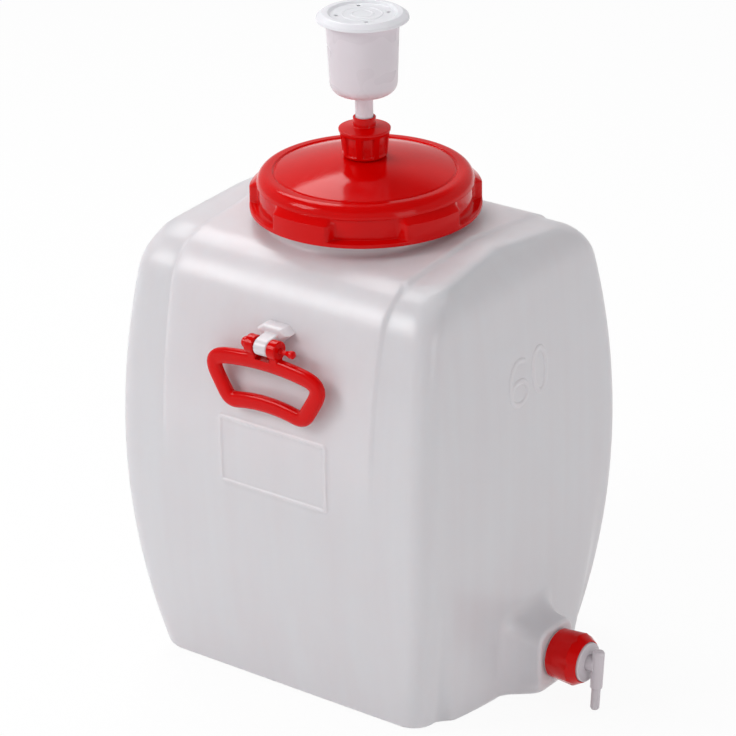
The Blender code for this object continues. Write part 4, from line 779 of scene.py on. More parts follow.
# %% [markdown]
# Geometry Nodes make what repeats or follows a path. The trees below share a beginning, their
# named inputs, and an end, which makes instances real and sets the material. A tree runs as a
# modifier, and its result is kept as a plain mesh, because that is what every later step can use.

# %% Begin, end and run a tree
def new_tree(name, *numbers):
    """A geometry tree whose inputs are a shape, some numbers and a material."""
    tree = bpy.data.node_groups.new(name, "GeometryNodeTree")
    for title in ("Geometry", *numbers, "Material"):
        kind = title if title in ("Geometry", "Material") else "Float"
        tree.interface.new_socket(title, in_out="INPUT", socket_type="NodeSocket" + kind)
    tree.interface.new_socket("Geometry", in_out="OUTPUT", socket_type="NodeSocketGeometry")
    return tree, add(tree, "NodeGroupInput").outputs


def end_tree(tree, given, shape):
    real = add(tree, "GeometryNodeRealizeInstances", {0: shape})
    painted = add(tree, "GeometryNodeSetMaterial", {"Geometry": real,
                                                    "Material": given["Material"]})
    add(tree, "NodeGroupOutput", {"Geometry": painted})
    print(tree.name, "has", len(tree.nodes), "nodes")
    return tree


def run_tree(item, tree, **values):
    """Runs a tree on a piece with its inputs by name, and keeps the result as a plain mesh."""
    modifier = item.modifiers.new(tree.name, "NODES")
    modifier.node_group = tree
    for socket in tree.interface.items_tree:
        title = socket.name.replace(" ", "_").lower()
        if socket.in_out == "INPUT" and title in values:
            modifier[socket.identifier] = values[title]
    return bake(item)


def bake(item):
    """Keeps what a piece's modifiers make as its plain mesh, and takes them away."""
    bpy.context.view_layer.update()
    evaluated = item.evaluated_get(bpy.context.evaluated_depsgraph_get())
    made = bpy.data.meshes.new_from_object(evaluated)
    item.modifiers.clear()
    item.data = made
    return item


print("helpers for trees are ready")

# %% [markdown]
# Grip pockets repeat round the lid, the cap and the nut, so one tree makes them all. It finds each
# point's angle from the nearest pocket's middle and draws the points inside a pocket in to the
# pocket's floor, with eased sides, the way a core in the mould leaves a drafted pocket. Cutting
# them with Booleans would leave sharp rims that the real plastic hasn't got.

# %% Tree of grip pockets
def pocket_tree():
    tree, given = new_tree("grip_pockets", "Count", "Start", "Half Angle", "Draft",
                           "Floor Radius", "Low", "High", "Ease")
    place = add(tree, "GeometryNodeInputPosition")
    part = add(tree, "ShaderNodeSeparateXYZ", {0: place}).outputs
    # how far round a point is from the middle of its pocket
    angle = add(tree, "ShaderNodeMath", {0: part["Y"], 1: part["X"]}, operation="ARCTAN2")
    pitch = add(tree, "ShaderNodeMath", {0: math.tau, 1: given["Count"]}, operation="DIVIDE")
    offset = add(tree, "ShaderNodeMath", {0: pitch, 1: 0.5, 2: angle}, operation="MULTIPLY_ADD")
    offset = add(tree, "ShaderNodeMath", {0: offset, 1: given["Start"]}, operation="SUBTRACT")
    wrapped = add(tree, "ShaderNodeMath", {0: offset, 1: pitch}, operation="FLOORED_MODULO")
    centred = add(tree, "ShaderNodeMath", {0: pitch, 1: -0.5, 2: wrapped}, operation="MULTIPLY_ADD")
    far = add(tree, "ShaderNodeMath", {0: centred}, operation="ABSOLUTE")
    # 1 inside a pocket and 0 outside, eased at its sides, foot and head
    rim = add(tree, "ShaderNodeMath", {0: given["Half Angle"], 1: given["Draft"]}, operation="ADD")
    across = add(tree, "ShaderNodeMapRange", {0: far, 1: given["Half Angle"], 2: rim, 3: 1.0,
                                              4: 0.0}, interpolation_type="SMOOTHSTEP")
    low = add(tree, "ShaderNodeMath", {0: given["Low"], 1: given["Ease"]}, operation="ADD")
    high = add(tree, "ShaderNodeMath", {0: given["High"], 1: given["Ease"]}, operation="SUBTRACT")
    above = add(tree, "ShaderNodeMapRange", {0: part["Z"], 1: given["Low"], 2: low, 3: 0.0,
                                             4: 1.0}, interpolation_type="SMOOTHSTEP")
    below = add(tree, "ShaderNodeMapRange", {0: part["Z"], 1: high, 2: given["High"], 3: 1.0,
                                             4: 0.0}, interpolation_type="SMOOTHSTEP")
    inside = add(tree, "ShaderNodeMath", {0: above, 1: below}, operation="MULTIPLY")
    inside = add(tree, "ShaderNodeMath", {0: inside, 1: across}, operation="MULTIPLY")
    # the radius shrinks to the floor's by that share
    flat = add(tree, "ShaderNodeCombineXYZ", {"X": part["X"], "Y": part["Y"]})
    radius = add(tree, "ShaderNodeVectorMath", {0: flat}, operation="LENGTH").outputs["Value"]
    floor = add(tree, "ShaderNodeMath", {0: radius, 1: given["Floor Radius"]}, operation="MINIMUM")
    share = add(tree, "ShaderNodeMath", {0: floor, 1: radius}, operation="DIVIDE")
    less = add(tree, "ShaderNodeMath", {0: share, 1: 1.0}, operation="SUBTRACT")
    scale = add(tree, "ShaderNodeMath", {0: less, 1: inside, 2: 1.0}, operation="MULTIPLY_ADD")
    drawn = add(tree, "ShaderNodeVectorMath", {0: flat, "Scale": scale}, operation="SCALE")
    drawn = add(tree, "ShaderNodeSeparateXYZ", {0: drawn}).outputs
    moved = add(tree, "ShaderNodeCombineXYZ", {"X": drawn["X"], "Y": drawn["Y"], "Z": part["Z"]})
    shaped = add(tree, "GeometryNodeSetPosition", {"Geometry": given["Geometry"],
                                                   "Position": moved})
    return end_tree(tree, given, shaped)


pockets = pocket_tree()

# %% [markdown]
# The lid is one turned outline: skirt, flange, a sloped shoulder over the grip blocks, a ring
# groove, the dome and the spout in its middle, with the sealing lip below. Five wide pockets
# between the blocks give the hands their hold. Pockets can only bend a wall that has points to
# move, so `stretch` puts points along the straight stretches.

# %% Lid
BLOCK, SKIRT, DOME, SPOUT = 0.1215, 0.1088, 0.0932, 0.0160
PLATE_TOP, PLATE_UNDER, DOME_RISE = 0.54647, 0.54327, 0.0155


def stretch(start, end, count):
    """Points between two corners, without the corners."""
    return [tuple(a + (b - a) * k / count for a, b in zip(start, end)) + (0,)
            for k in range(1, count)]


def dome_arc(height, radii):
    return [(r, height + DOME_RISE * (1 - (r / DOME) ** 2), 0) for r in radii]


outline = [(SKIRT, 0.50557, 0.0006), (BLOCK, 0.50557, 0.0014)]
outline += [(BLOCK, z, 0) for z in (0.5090, 0.5096, 0.5100, 0.51025, 0.5105, 0.5108, 0.5112,
                                    0.5118, 0.513)]
outline += [(BLOCK, 0.513 + 0.0012 * k, 0) for k in range(1, 12)]
outline += [(BLOCK, 0.52747, 0.0018)] + stretch((BLOCK, 0.52747), (0.1135, 0.53377), 16)
outline += [(0.1135, 0.53377, 0.0012)]
outline += [(0.102 + 0.0115 * math.cos(a), 0.53377 + 0.0127 * math.sin(a), 0)
            for a in np.linspace(0.12, math.pi / 2 - 0.12, 12)]
outline += [(0.102, PLATE_TOP, 0.0010), (0.0972, PLATE_TOP, 0.0006), (0.0952, 0.54487, 0.0008),
            (DOME, PLATE_TOP, 0.0006)] + dome_arc(PLATE_TOP, np.linspace(0.0915, 0.0185, 18))
outline += [(SPOUT, 0.5616, 0.0016), (SPOUT, 0.58047, 0.0010), (0.0108, 0.58047, 0.0010),
            (0.0108, 0.5586, 0.0010)] + dome_arc(PLATE_UNDER, np.linspace(0.0125, 0.0915, 12))
outline += [(0.0965, PLATE_UNDER, 0.0006), (0.0965, 0.53227, 0.0008), (0.0985, 0.53227, 0.0008),
            (0.0985, PLATE_UNDER, 0.0005), (SKIRT, PLATE_UNDER, 0.0010)]
lid = turned("screw_lid", outline, red, columns=420)
run_tree(lid, pockets, count=5.0, start=math.radians(-53.0), half_angle=math.radians(16.0),
         draft=math.radians(4.6), floor_radius=0.1122, low=0.5101, high=0.5336, ease=0.0008,
         material=red)
dress(lid, "lid", "red_plastic", "lid")

# %% [markdown]
# The cap that squeezes the airlock's seal is a small copy of the same idea: a tapered skirt with
# eight shallow pockets between its ribs, a thin flange, and a collar round the stem. Its rows of
# points are closest where a pocket begins and ends.

# %% Airlock cap
rows = [0.5636 + 0.0005 * k for k in range(1, 8)] + [0.568 + 0.0015 * k for k in range(12)]
rows += [0.5855, 0.5860, 0.5864, 0.5867, 0.5870, 0.5875]
outline = [(0.0178, 0.5620, 0.0006), (0.0218, 0.5620, 0.0010), (0.0234, 0.5636, 0.0010)]
outline += [(0.0234 + 0.0030 * (z - 0.5636) / 0.026, z, 0) for z in rows]
outline += [(0.0264, 0.58957, 0.0006), (0.0272, 0.58957, 0.0004), (0.0272, 0.59217, 0.0008),
            (0.0120, 0.59437, 0.0010), (0.0120, 0.60437, 0.0008), (0.0099, 0.60437, 0.0005),
            (0.0099, 0.58677, 0.0004), (0.0178, 0.58677, 0.0006)]
cap = turned("airlock_screw_cap", outline, red, columns=384)
run_tree(cap, pockets, count=8.0, start=0.0, half_angle=math.radians(11.0),
         draft=math.radians(5.0), floor_radius=0.0226, low=0.5652, high=0.5870, ease=0.0010,
         material=red)
dress(cap, "airlock_cap", "red_plastic", "airlock_cap")

# %% [markdown]
# The airlock is a milky cup on a hollow stem. Gas comes up its inner tube, is turned down by a
# bell that stands over the tube, and bubbles out through the sealing water. The cup is one thin
# wall that turns back into the tube, so a single outline makes both without a seam.

# %% Cup
def arc(centre, radius, start, end, steps):
    return [(centre[0] + radius * math.cos(a), centre[1] + radius * math.sin(a), 0)
            for a in np.linspace(start, end, steps + 1)]


outline = [(0.0075, 0.55297, 0.0004), (0.0093, 0.55297, 0.0006), (0.0093, 0.5800, 0),
           (0.0093, 0.6100, 0), (0.0093, 0.62997, 0.0020)]
outline += arc((0.0222, 0.64297), 0.0130, -math.pi / 2 + 0.15, 0, 10)
outline += stretch((0.0352, 0.643), (0.0380, 0.7105), 6)
outline += [(0.0380, 0.71197, 0.0005), (0.0365, 0.71197, 0.0005)]
outline += stretch((0.0365, 0.7105), (0.0337, 0.643), 6)
outline += arc((0.0222, 0.64347), 0.0115, 0, -math.pi / 2 + 0.05, 8)
outline += [(0.0088, 0.63197, 0.0010), (0.0088, 0.67647, 0.0004), (0.0075, 0.67647, 0.0004)]
cup = turned("airlock_water_cup", outline, clear, columns=128)
dress(cup, "airlock_cup", "clear_plastic", "airlock_cup")

# %% [markdown]
# Holes and joints could be modelled point by point, but Blender's exact Boolean makes them
# cleanly. Each is applied at once, so that a plain mesh is left. A plain rod serves as the drill,
# a turn by `SIDEWAYS` lays it along X, and edges sharper than a few degrees are then kept crisp.

# %% Join, cut and place
SIDEWAYS = Matrix.Rotation(math.pi / 2, 4, "Y")


def carve(item, tools, operation):
    """Joins the tools to a piece or cuts them out of it, and takes them away."""
    for tool in tools:
        modifier = item.modifiers.new("carve", "BOOLEAN")
        modifier.object, modifier.operation, modifier.solver = tool, operation, "EXACT"
    bake(item)
    for tool in tools:
        bpy.data.objects.remove(tool)
    return item


def place_mesh(item, matrix):
    item.data.transform(matrix)
    return item


def rod(name, radius, low, high, columns=40, matrix=Matrix.Identity(4)):
    outline = [(0.0, low), (radius, low), (radius, high), (0.0, high)]
    return place_mesh(turned(name, outline, red, columns), matrix)


def crisp(item, degrees=32.0):
    item.data.shade_smooth()
    item.data.set_sharp_from_angle(angle=math.radians(degrees))
    return item


print("helpers for cutting are ready")

# %% [markdown]
# The bell is a small turned thimble that stands mouth down over the inner tube. Two crossed
# drillings through its rim leave the four notches that let the gas out under water.

# %% Bell
outline = [(0.0205, 0.63227, 0.0003), (0.0218, 0.63227, 0.0003), (0.0218, 0.68597, 0.0020),
           (0.0205, 0.68727, 0.0015), (0.0, 0.68727, 0), (0.0, 0.68597, 0),
           (0.0205, 0.68597, 0.0015)]
bell = turned("airlock_gas_bell", outline, clear)
notches = []
for quarter in (0.0, math.pi / 2):
    matrix = (Matrix.Translation((0, 0, 0.6342)) @ Matrix.Rotation(quarter, 4, "Z") @ SIDEWAYS
              @ Matrix.Diagonal((1.7, 1, 1, 1)))
    notches.append(rod("bell_notch", 0.0030, -0.03, 0.03, 24, matrix))
crisp(carve(bell, notches, "DIFFERENCE"))
dress(bell, "airlock_bell", "clear_plastic", "airlock_bell")

# %% [markdown]
# The cover rests on the cup like a saucer: a dish with two low rings, a rim that droops over the
# cup, and a short skirt that holds it. Real shape catches light better than a bump, so the rings
# and the four vent holes are geometry.

# %% Cover
DISH, RINGS = 0.71477, (0.0100, 0.0196)
outline = [(0.0, DISH, 0)]
for radius in RINGS:
    outline += [(radius + out, DISH + rise, 0.0004)
                for out, rise in ((0, 0), (0.0006, 0.0004), (0.0016, 0.0004), (0.0022, 0))]
outline += [(0.0330, DISH, 0.0020), (0.0359, 0.71727, 0.0012), (0.04135, 0.71727, 0.0020),
            (0.0474, 0.71317, 0.0012), (0.0483, 0.71007, 0.0005), (0.0465, 0.71007, 0.0005),
            (0.04315, 0.71227, 0.0015), (0.0359, 0.71227, 0.0006), (0.03566, 0.70527, 0.0005),
            (0.03426, 0.70527, 0.0005), (0.0342, 0.71297, 0.0010), (0.0, 0.71297, 0)]
# The cover's finish carries painted top light in its paler, cooler colour.
cover = turned("airlock_vented_cover", outline, bluish, columns=128)
vents = [rod("vent", 0.0022, 0.70, 0.72, 24, Matrix.Rotation(math.radians(45 + 90 * k), 4, "Z")
             @ Matrix.Translation((0.0270, 0, 0))) for k in range(4)]
crisp(carve(cover, vents, "DIFFERENCE"))
dress(cover, "airlock_cover", "clear_plastic", "airlock_cover")

# %% [markdown]
# Each handle is an arched frame of soft sided bar. A bent curve with a bevel would do, but here
# the centre line is a closed run of points, with bowed long sides and rounded corners, and a
# rounded section is carried along it, so that the bar's width stays even round the corners.

# %% Bar of the handle
HANDLE_CORNERS = ((-0.0735, -0.0265), (0.0735, -0.0265), (0.0475, -0.0705), (-0.0475, -0.0705))
TRIMS, BOWS, COUNTS = (0.020, 0.020, 0.010, 0.010), (0.0090, 0.0, -0.0065, 0.0), (44, 12, 34, 12)
BAR_WIDTH, BAR_DEPTH, BAR_ROUNDNESS, BAR_POINTS = 0.0175, 0.0110, 0.8, 28


def handle_line():
    corners = [Vector(corner) for corner in HANDLE_CORNERS]
    runs = []
    for index, corner in enumerate(corners):
        ahead = (index + 1) % 4
        run = corners[ahead] - corner
        across = Vector((-run.y, run.x)).normalized()
        first, last = TRIMS[index] / run.length, 1 - TRIMS[ahead] / run.length
        runs.append([corner + run * s + across * BOWS[index] * (1 - (2 * s - 1) ** 2)
                     for s in np.linspace(first, last, COUNTS[index])])
    line = []
    for index, run in enumerate(runs):
        ahead = (index + 1) % 4
        line += run
        for share in np.linspace(0, 1, 12)[1:-1]:
            onwards = corners[ahead].lerp(runs[ahead][0], share)
            line.append(run[-1].lerp(corners[ahead], share).lerp(onwards, share))
    for _ in range(3):
        line = [(line[i - 1] + line[i] * 2 + line[(i + 1) % len(line)]) / 4
                for i in range(len(line))]
    return line


def handle_bar(name):
    line = handle_line()
    points, faces = [], []
    for index, point in enumerate(line):
        along = (line[(index + 1) % len(line)] - line[index - 1]).normalized()
        across = Vector((-along.y, along.x))
        for step in range(BAR_POINTS):
            angle = math.tau * step / BAR_POINTS
            wide, deep = (math.copysign(abs(t) ** BAR_ROUNDNESS, t) / 2
                          for t in (math.cos(angle), math.sin(angle)))
            spot = point + across * wide * BAR_WIDTH
            points.append((spot.x, deep * BAR_DEPTH, spot.y))
    for row in range(len(line)):
        for c in range(BAR_POINTS):
            n, ahead = (c + 1) % BAR_POINTS, (row + 1) % len(line) * BAR_POINTS
            faces.append((row * BAR_POINTS + c, row * BAR_POINTS + n, ahead + n, ahead + c))
    return piece_from(name, points, faces, red)


print("points along the handle:", len(handle_line()))

# %% [markdown]
# Two eyes on legs take the pin. They are joined to the bar, and a wide drilling between them
# leaves the hollow that clears the barrel's tongue. It is a hair wider than the gap between the
# eyes, because an exact Boolean needs faces that cross and not faces that lie on each other.

# %% Handles
EYE_RADIUS, EYE_NEAR, EYE_FAR, PIN_HOLE = 0.0105, 0.0088, 0.0198, 0.0036
SADDLE_RADIUS, SADDLE_HALF = 0.0146, 0.00893


def at_pin(side):
    """The middle of a handle's pin, on the front (-1) or the rear (1)."""
    return Matrix.Translation((FEATURE, side * PIN_OUT, PIN_HEIGHT))


def soft_block(name, low, high, rounding):
    """A block between two corners with rounded edges."""
    shape = bmesh.new()
    bmesh.ops.create_cube(shape, size=1.0)
    for vert in shape.verts:
        vert.co = Vector([low[k] + (vert.co[k] + 0.5) * (high[k] - low[k]) for k in range(3)])
    bmesh.ops.bevel(shape, geom=list(shape.edges) + list(shape.verts), offset=rounding,
                    segments=3, affect="EDGES")
    mesh = bpy.data.meshes.new(name)
    shape.to_mesh(mesh)
    shape.free()
    return link(name, mesh, red)


def handle(name, side, body, node):
    item = handle_bar(name)
    parts = []
    for sign in (-1, 1):
        low, high = sorted((sign * EYE_NEAR, sign * EYE_FAR))
        eye = [(0.0, low, 0), (EYE_RADIUS, low, 0.0016), (EYE_RADIUS, high, 0.0016), (0.0, high, 0)]
        parts.append(place_mesh(turned("eye", eye, red, 64), SIDEWAYS))
        parts.append(soft_block("leg", (low + 0.0003, -0.0052, -0.0195),
                                (high - 0.0003, 0.0052, -0.001), 0.0011))
    carve(item, parts, "UNION")
    saddle = rod("saddle", SADDLE_RADIUS, -SADDLE_HALF, SADDLE_HALF, 64, SIDEWAYS)
    hole = rod("hole", PIN_HOLE, -0.03, 0.03, 40, SIDEWAYS)
    crisp(carve(item, [saddle, hole], "DIFFERENCE"), 40.0)
    dress(place_mesh(item, at_pin(side)), body, "red_plastic", node)


handle("carrying_handle_front", -1, "handle_front", "handle_front")
handle("carrying_handle_rear", 1, "handle_rear", "handle_rear")

# %% [markdown]
# A pin holds each handle: a domed head on one side, and on the other a slim neck with a bulb that
# was pushed through the eyes and snapped home. It is round all along, so it is turned too.

# %% Pins
HEAD, SHANK, PIN_NECK, BULB, REACH = 0.0058, 0.0032, 0.0024, 0.0042, 0.0201


def pin(name, side, body, node):
    outline = [(0.0, -REACH - 0.0070, 0), (0.0044, -REACH - 0.0070, 0.0014),
               (HEAD, -REACH - 0.0052, 0.0020), (HEAD, -REACH, 0.0008), (SHANK, -REACH, 0.0003),
               (SHANK, REACH, 0.0003), (PIN_NECK, REACH + 0.0022, 0.0010),
               (PIN_NECK, REACH + 0.0083, 0.0020), (BULB, REACH + 0.0133, 0.0015),
               (BULB, REACH + 0.01665, 0.0015), (PIN_NECK, REACH + 0.0185, 0.0012),
               (0.0, REACH + 0.0185, 0)]
    item = turned(name, outline, red, 48)
    place_mesh(item, at_pin(side) @ Matrix.Rotation(-side * math.pi / 2, 4, "Y"))
    dress(item, body, "red_plastic", node)


pin("handle_pin_front_turned", -1, "handle_front", "handle_pin_front")
pin("handle_pin_rear_turned", 1, "handle_rear", "handle_pin_rear")

# %% [markdown]
# The lugs are moulded on the barrel: a bevelled block with a hooked tongue round the pin. Plain
# prisms are joined and drilled, and then remeshed finely and smoothed, so that their edges come
# out soft like the rest of the shell, which a bevel on such crossing faces can't do cleanly.

# %% Lugs and tongues
LUG = ((-0.0125, 0.0180), (-0.0215, 0.0115), (-0.0080, 0.0010), (0.0080, 0.0010),
       (0.0215, 0.0115), (0.0125, 0.0180))
LUG_LEVELS = ((0.1600, 1.0), (0.1725, 1.0), (0.1765, 1 - 0.0040 / 0.0215))
LUG_ROOT, LUG_MIDDLE, HOOK_RADIUS, TONGUE_HALF, VOXEL = 0.1600, 0.0115, 0.0092, 0.0080, 0.0008


def prism(name, rings_of_points):
    count = len(rings_of_points[0])
    points = [p for r in rings_of_points for p in r]
    faces = []
    for row in range(0, len(points) - count, count):
        for c in range(count):
            n = (c + 1) % count
            faces.append((row + c, row + n, row + count + n, row + count + c))
    faces += [tuple(range(count)), tuple(range(len(points) - count, len(points)))]
    return piece_from(name, points, faces, milk)


def lug(name, side):
    middle = PIN_HEIGHT + LUG_MIDDLE
    block = prism(name, [[(FEATURE + x * s, side * out, middle + (z - LUG_MIDDLE) * s)
                          for x, z in LUG] for out, s in LUG_LEVELS])
    hook = [(PIN_OUT + HOOK_RADIUS * math.cos(a), PIN_HEIGHT + HOOK_RADIUS * math.sin(a))
            for a in np.linspace(-math.radians(108), math.radians(76), 24)]
    section = [(LUG_ROOT, PIN_HEIGHT - 0.0010)] + hook + [(LUG_ROOT, PIN_HEIGHT + 0.0140)]
    tongue = prism("tongue", [[(FEATURE + x, side * out, z) for out, z in section]
                              for x in (-TONGUE_HALF, TONGUE_HALF)])
    carve(block, [tongue], "UNION")
    carve(block, [rod("hole", PIN_HOLE, -0.03, 0.03, 32, at_pin(side) @ SIDEWAYS)], "DIFFERENCE")
    fine = block.modifiers.new("fine", "REMESH")
    fine.mode, fine.voxel_size = "VOXEL", VOXEL
    rounding = block.modifiers.new("rounding", "SMOOTH")
    rounding.factor, rounding.iterations = 0.5, 4
    return bake(block)


lugs = [lug("lug_front", -1), lug("lug_rear", 1)]
print("faces on a lug:", len(lugs[0].data.polygons))

# %% [markdown]
# The barrel's capacity in litres is moulded on the end face as plain strokes. A text object would
# bring a font's sharp shapes, so a tree sweeps a round section along each stroke and presses it
# flat, and gives a low soft ridge.

# %% Tree of moulded strokes
def stroke_tree():
    tree, given = new_tree("moulded_stroke", "Width", "Flatness")
    line = add(tree, "GeometryNodeMeshToCurve", {0: given["Geometry"]})
    half = add(tree, "ShaderNodeMath", {0: given["Width"], 1: 0.5}, operation="MULTIPLY")
    section = add(tree, "GeometryNodeCurvePrimitiveCircle", {"Resolution": 20, "Radius": half})
    swept = add(tree, "GeometryNodeCurveToMesh", {"Curve": line, "Profile Curve": section,
                                                  "Fill Caps": True})
    place = add(tree, "GeometryNodeInputPosition")
    press = add(tree, "ShaderNodeCombineXYZ", {"X": given["Flatness"], "Y": 1.0, "Z": 1.0})
    pressed = add(tree, "ShaderNodeVectorMath", {0: place, 1: press}, operation="MULTIPLY")
    flat = add(tree, "GeometryNodeSetPosition", {"Geometry": swept, "Position": pressed})
    return end_tree(tree, given, flat)


sweep = stroke_tree()

# %% [markdown]
# Each stroke is drawn flat and then moved out point by point to where a ray meets the wall, so
# that it follows the curve of the face and its root stays inside. The ridges and lugs are joined
# to the shell, as on the real one: a mark that only touched it would catch the light as a wire.

# %% Capacity mark and the finished barrel
STROKE_WIDTH, STROKE_FLATNESS, STROKE_SINK = 0.0068, 0.50, 0.0005


def ellipse(centre, half, count):
    return [(0.0, centre[0] + half[0] * math.sin(t), centre[1] + half[1] * math.cos(t))
            for t in np.linspace(0, math.tau, count + 1)[:-1]]


strokes = {"nought": ellipse((0.0275, 0.3590), (0.0118, 0.0240), 64),
           "bowl": ellipse((-0.0105, 0.3455), (0.0145, 0.0125), 48),
           "back": [(0.0, y, z) for y, z in (
               (-0.0250, 0.3455), (-0.0250, 0.3550), (-0.0238, 0.3650), (-0.0205, 0.3735),
               (-0.0145, 0.3790), (-0.0065, 0.3805), (0.0010, 0.3775))]}
wall = BVHTree.FromObject(barrel, bpy.context.evaluated_depsgraph_get())
ridges = []
for name, points in strokes.items():
    ridge = piece_from(name, [], [], milk)
    edges = [(k, k + 1) for k in range(len(points) - 1)]
    if name != "back":
        edges.append((len(points) - 1, 0))
    ridge.data.from_pydata(points, edges, [])
    run_tree(ridge, sweep, width=STROKE_WIDTH, flatness=STROKE_FLATNESS, material=milk)
    for vert in ridge.data.vertices:
        met = wall.ray_cast((0.4, vert.co.y, vert.co.z), (-1, 0, 0))[0]
        vert.co.x += met.x - STROKE_SINK
    ridges.append(ridge)
crisp(carve(barrel, lugs + ridges, "UNION"), 50.0)
dress(barrel, "barrel", "milky_plastic", "barrel_body")

# %% [markdown]
# The union nut pulls the tap against the spigot. It is a tapered ring with six broad shallow
# hollows for the fingers, a chamfer and a lip, made by the same tree as the lid's pockets. Tap
# pieces are turned upright about Z first, and `to_tap` then lays them along the tap's axis.

# %% Union nut
to_tap = Matrix.Translation((0, 0, TAP_HEIGHT)) @ SIDEWAYS
outline = [(0.0246, 0.24323, 0.0004), (0.0258, 0.24323, 0.0004), (0.0268, 0.24423, 0.0006)]
outline += [(0.0268 + 0.0020 * (z - 0.2442) / 0.0257, z, 0)
            for z in np.linspace(0.2455, 0.2690, 18)]
outline += [(0.0288, 0.26993, 0.0014)] + stretch((0.0288, 0.26993), (0.0230, 0.27953), 8)
outline += [(0.0230, 0.27953, 0.0006), (0.0219, 0.27953, 0.0004), (0.0219, 0.27293, 0.0004),
            (0.0246, 0.27293, 0.0006)]
nut = turned("tap_union_nut", outline, red, columns=288)
run_tree(nut, pockets, count=6.0, start=math.radians(17.0), half_angle=0.0,
         draft=math.radians(15.0), floor_radius=0.0274, low=0.2440, high=0.2752, ease=0.0030,
         material=red)
dress(place_mesh(nut, to_tap), "tap_nut", "red_plastic", "tap_nut")

# %% [markdown]
# The tap's body is a milky grey drum with a flange that the nut presses home and a blind tube that
# plugs the spigot. One port is drilled in the underside of the tube, where the drink flows in.

# %% Tap body
outline = [(0.0, 0.24263, 0), (0.0130, 0.24263, 0.0008), (0.0130, 0.26863, 0.0003),
           (0.0240, 0.26863, 0.0004), (0.0240, 0.27263, 0.0004), (0.0215, 0.27263, 0.0003),
           (0.0215, 0.28203, 0.0012), (0.0085, 0.28203, 0.0006), (0.0085, 0.24663, 0.0004),
           (0.0, 0.24663, 0)]
tap = place_mesh(turned("tap_drum", outline, grey, columns=128), to_tap)
port = rod("port", 0.0032, -0.02, 0.0, 24, Matrix.Translation((0.25513, 0, TAP_HEIGHT)))
crisp(carve(tap, [port], "DIFFERENCE"), 50.0)
dress(tap, "tap", "tap_plastic", "tap_body")

# %% [markdown]
# The spout turns in the body as the tap's valve: a plug with a groove for its ring, and an arm
# that leads down to the nozzle. Both are turned, joined and drilled through. The nozzle's drill is
# turned a little, so that none of its edges falls on an edge of the arm and leaves a sliver.

# %% Spout
PLUG, ARM, NOZZLE = 0.0082, 0.0066, 0.0049
outline = [(0.0, 0.24693, 0), (PLUG, 0.24693, 0.0006), (PLUG, 0.27603, 0.0003),
           (0.0059, 0.27603, 0.0003), (0.0059, 0.27833, 0.0003), (PLUG, 0.27833, 0.0003),
           (PLUG, 0.29138, 0.0006), (0.0, 0.29138, 0)]
spout = place_mesh(turned("tap_spout_arm", outline, grey), to_tap)
outline = [(0.0, -0.0498, 0), (0.003675, -0.0498, 0.0001), (NOZZLE, -0.04796, 0.0015),
           (NOZZLE, -0.0253, 0.0015), (ARM, -0.0253, 0.0010), (ARM, 0.0142, 0.0010),
           (0.00528, 0.01651, 0.0015), (0.00264, 0.0175, 0.0020), (0.0, 0.0175, 0)]
to_arm = Matrix.Translation((0.29303, 0, TAP_HEIGHT))
carve(spout, [place_mesh(turned("arm", outline, grey, 64), to_arm)], "UNION")
passage = rod("passage", 0.0046, 0.25673, 0.29473, 40, to_tap)
drill = rod("drill", 0.0034, -0.06, 0.0017, 42, to_arm @ Matrix.Rotation(0.04, 4, "Z"))
port = rod("port", 0.0032, -0.02, -0.0007, 26, Matrix.Translation((0.25833, 0, TAP_HEIGHT)))
crisp(carve(spout, [passage, drill, port], "DIFFERENCE"), 50.0)
place_mesh(spout, Matrix.Translation((0, 0, TAP_HEIGHT))
           @ Matrix.Rotation(math.radians(-6.0), 4, "X") @ Matrix.Translation((0, 0, -TAP_HEIGHT)))
dress(spout, "tap_spout", "tap_plastic", "tap_spout")

# %% [markdown]
# Threads hold the lid and the union nut. A Screw modifier could wind a ridge too, but a tree that
# sweeps a round section along a spiral takes the radius, the lead and the turns as plain inputs.
# The mating ridges lie half a pitch apart.

# %% Tree of threads
def thread_tree():
    tree, given = new_tree("thread_ridge", "Radius", "Low", "Lead", "Turns", "Ridge")
    rise = add(tree, "ShaderNodeMath", {0: given["Lead"], 1: given["Turns"]}, operation="MULTIPLY")
    helix = add(tree, "GeometryNodeCurveSpiral", {
        "Resolution": 72, "Rotations": given["Turns"], "Height": rise,
        "Start Radius": given["Radius"], "End Radius": given["Radius"]})
    lift = add(tree, "ShaderNodeCombineXYZ", {"Z": given["Low"]})
    risen = add(tree, "GeometryNodeSetPosition", {"Geometry": helix, "Offset": lift})
    section = add(tree, "GeometryNodeCurvePrimitiveCircle", {"Resolution": 10,
                                                             "Radius": given["Ridge"]})
    swept = add(tree, "GeometryNodeCurveToMesh", {"Curve": risen, "Profile Curve": section,
                                                  "Fill Caps": True})
    return end_tree(tree, given, swept)


threads = thread_tree()

# %% [markdown]
# The neck and the lid have coarse ridges, which show when the lid is off, and the spigot a fine
# one. Each rides on its own side of the joint, so the threads part as the lid or the nut turns.

# %% Threads
def thread(name, body, slot_name, finish, tilt=Matrix.Identity(4), **values):
    item = run_tree(piece_from(name, [], [], finish), threads, material=finish, **values)
    place_mesh(item, tilt)
    item.data.shade_smooth()
    dress(item, body, slot_name)


COARSE = {"lead": 0.008, "turns": 2.6, "ridge": 0.0012}
FINE = {"lead": 0.004, "turns": 4.5, "ridge": 0.0003}
thread("neck_thread", "barrel", "milky_plastic", milk, radius=0.1060, low=0.5130, **COARSE)
thread("lid_thread", "lid", "red_plastic", red, radius=0.1082, low=0.5090, **COARSE)
thread("tap_spigot_thread", "barrel", "milky_plastic", milk, to_tap, radius=0.02395, low=0.2455,
       **FINE)

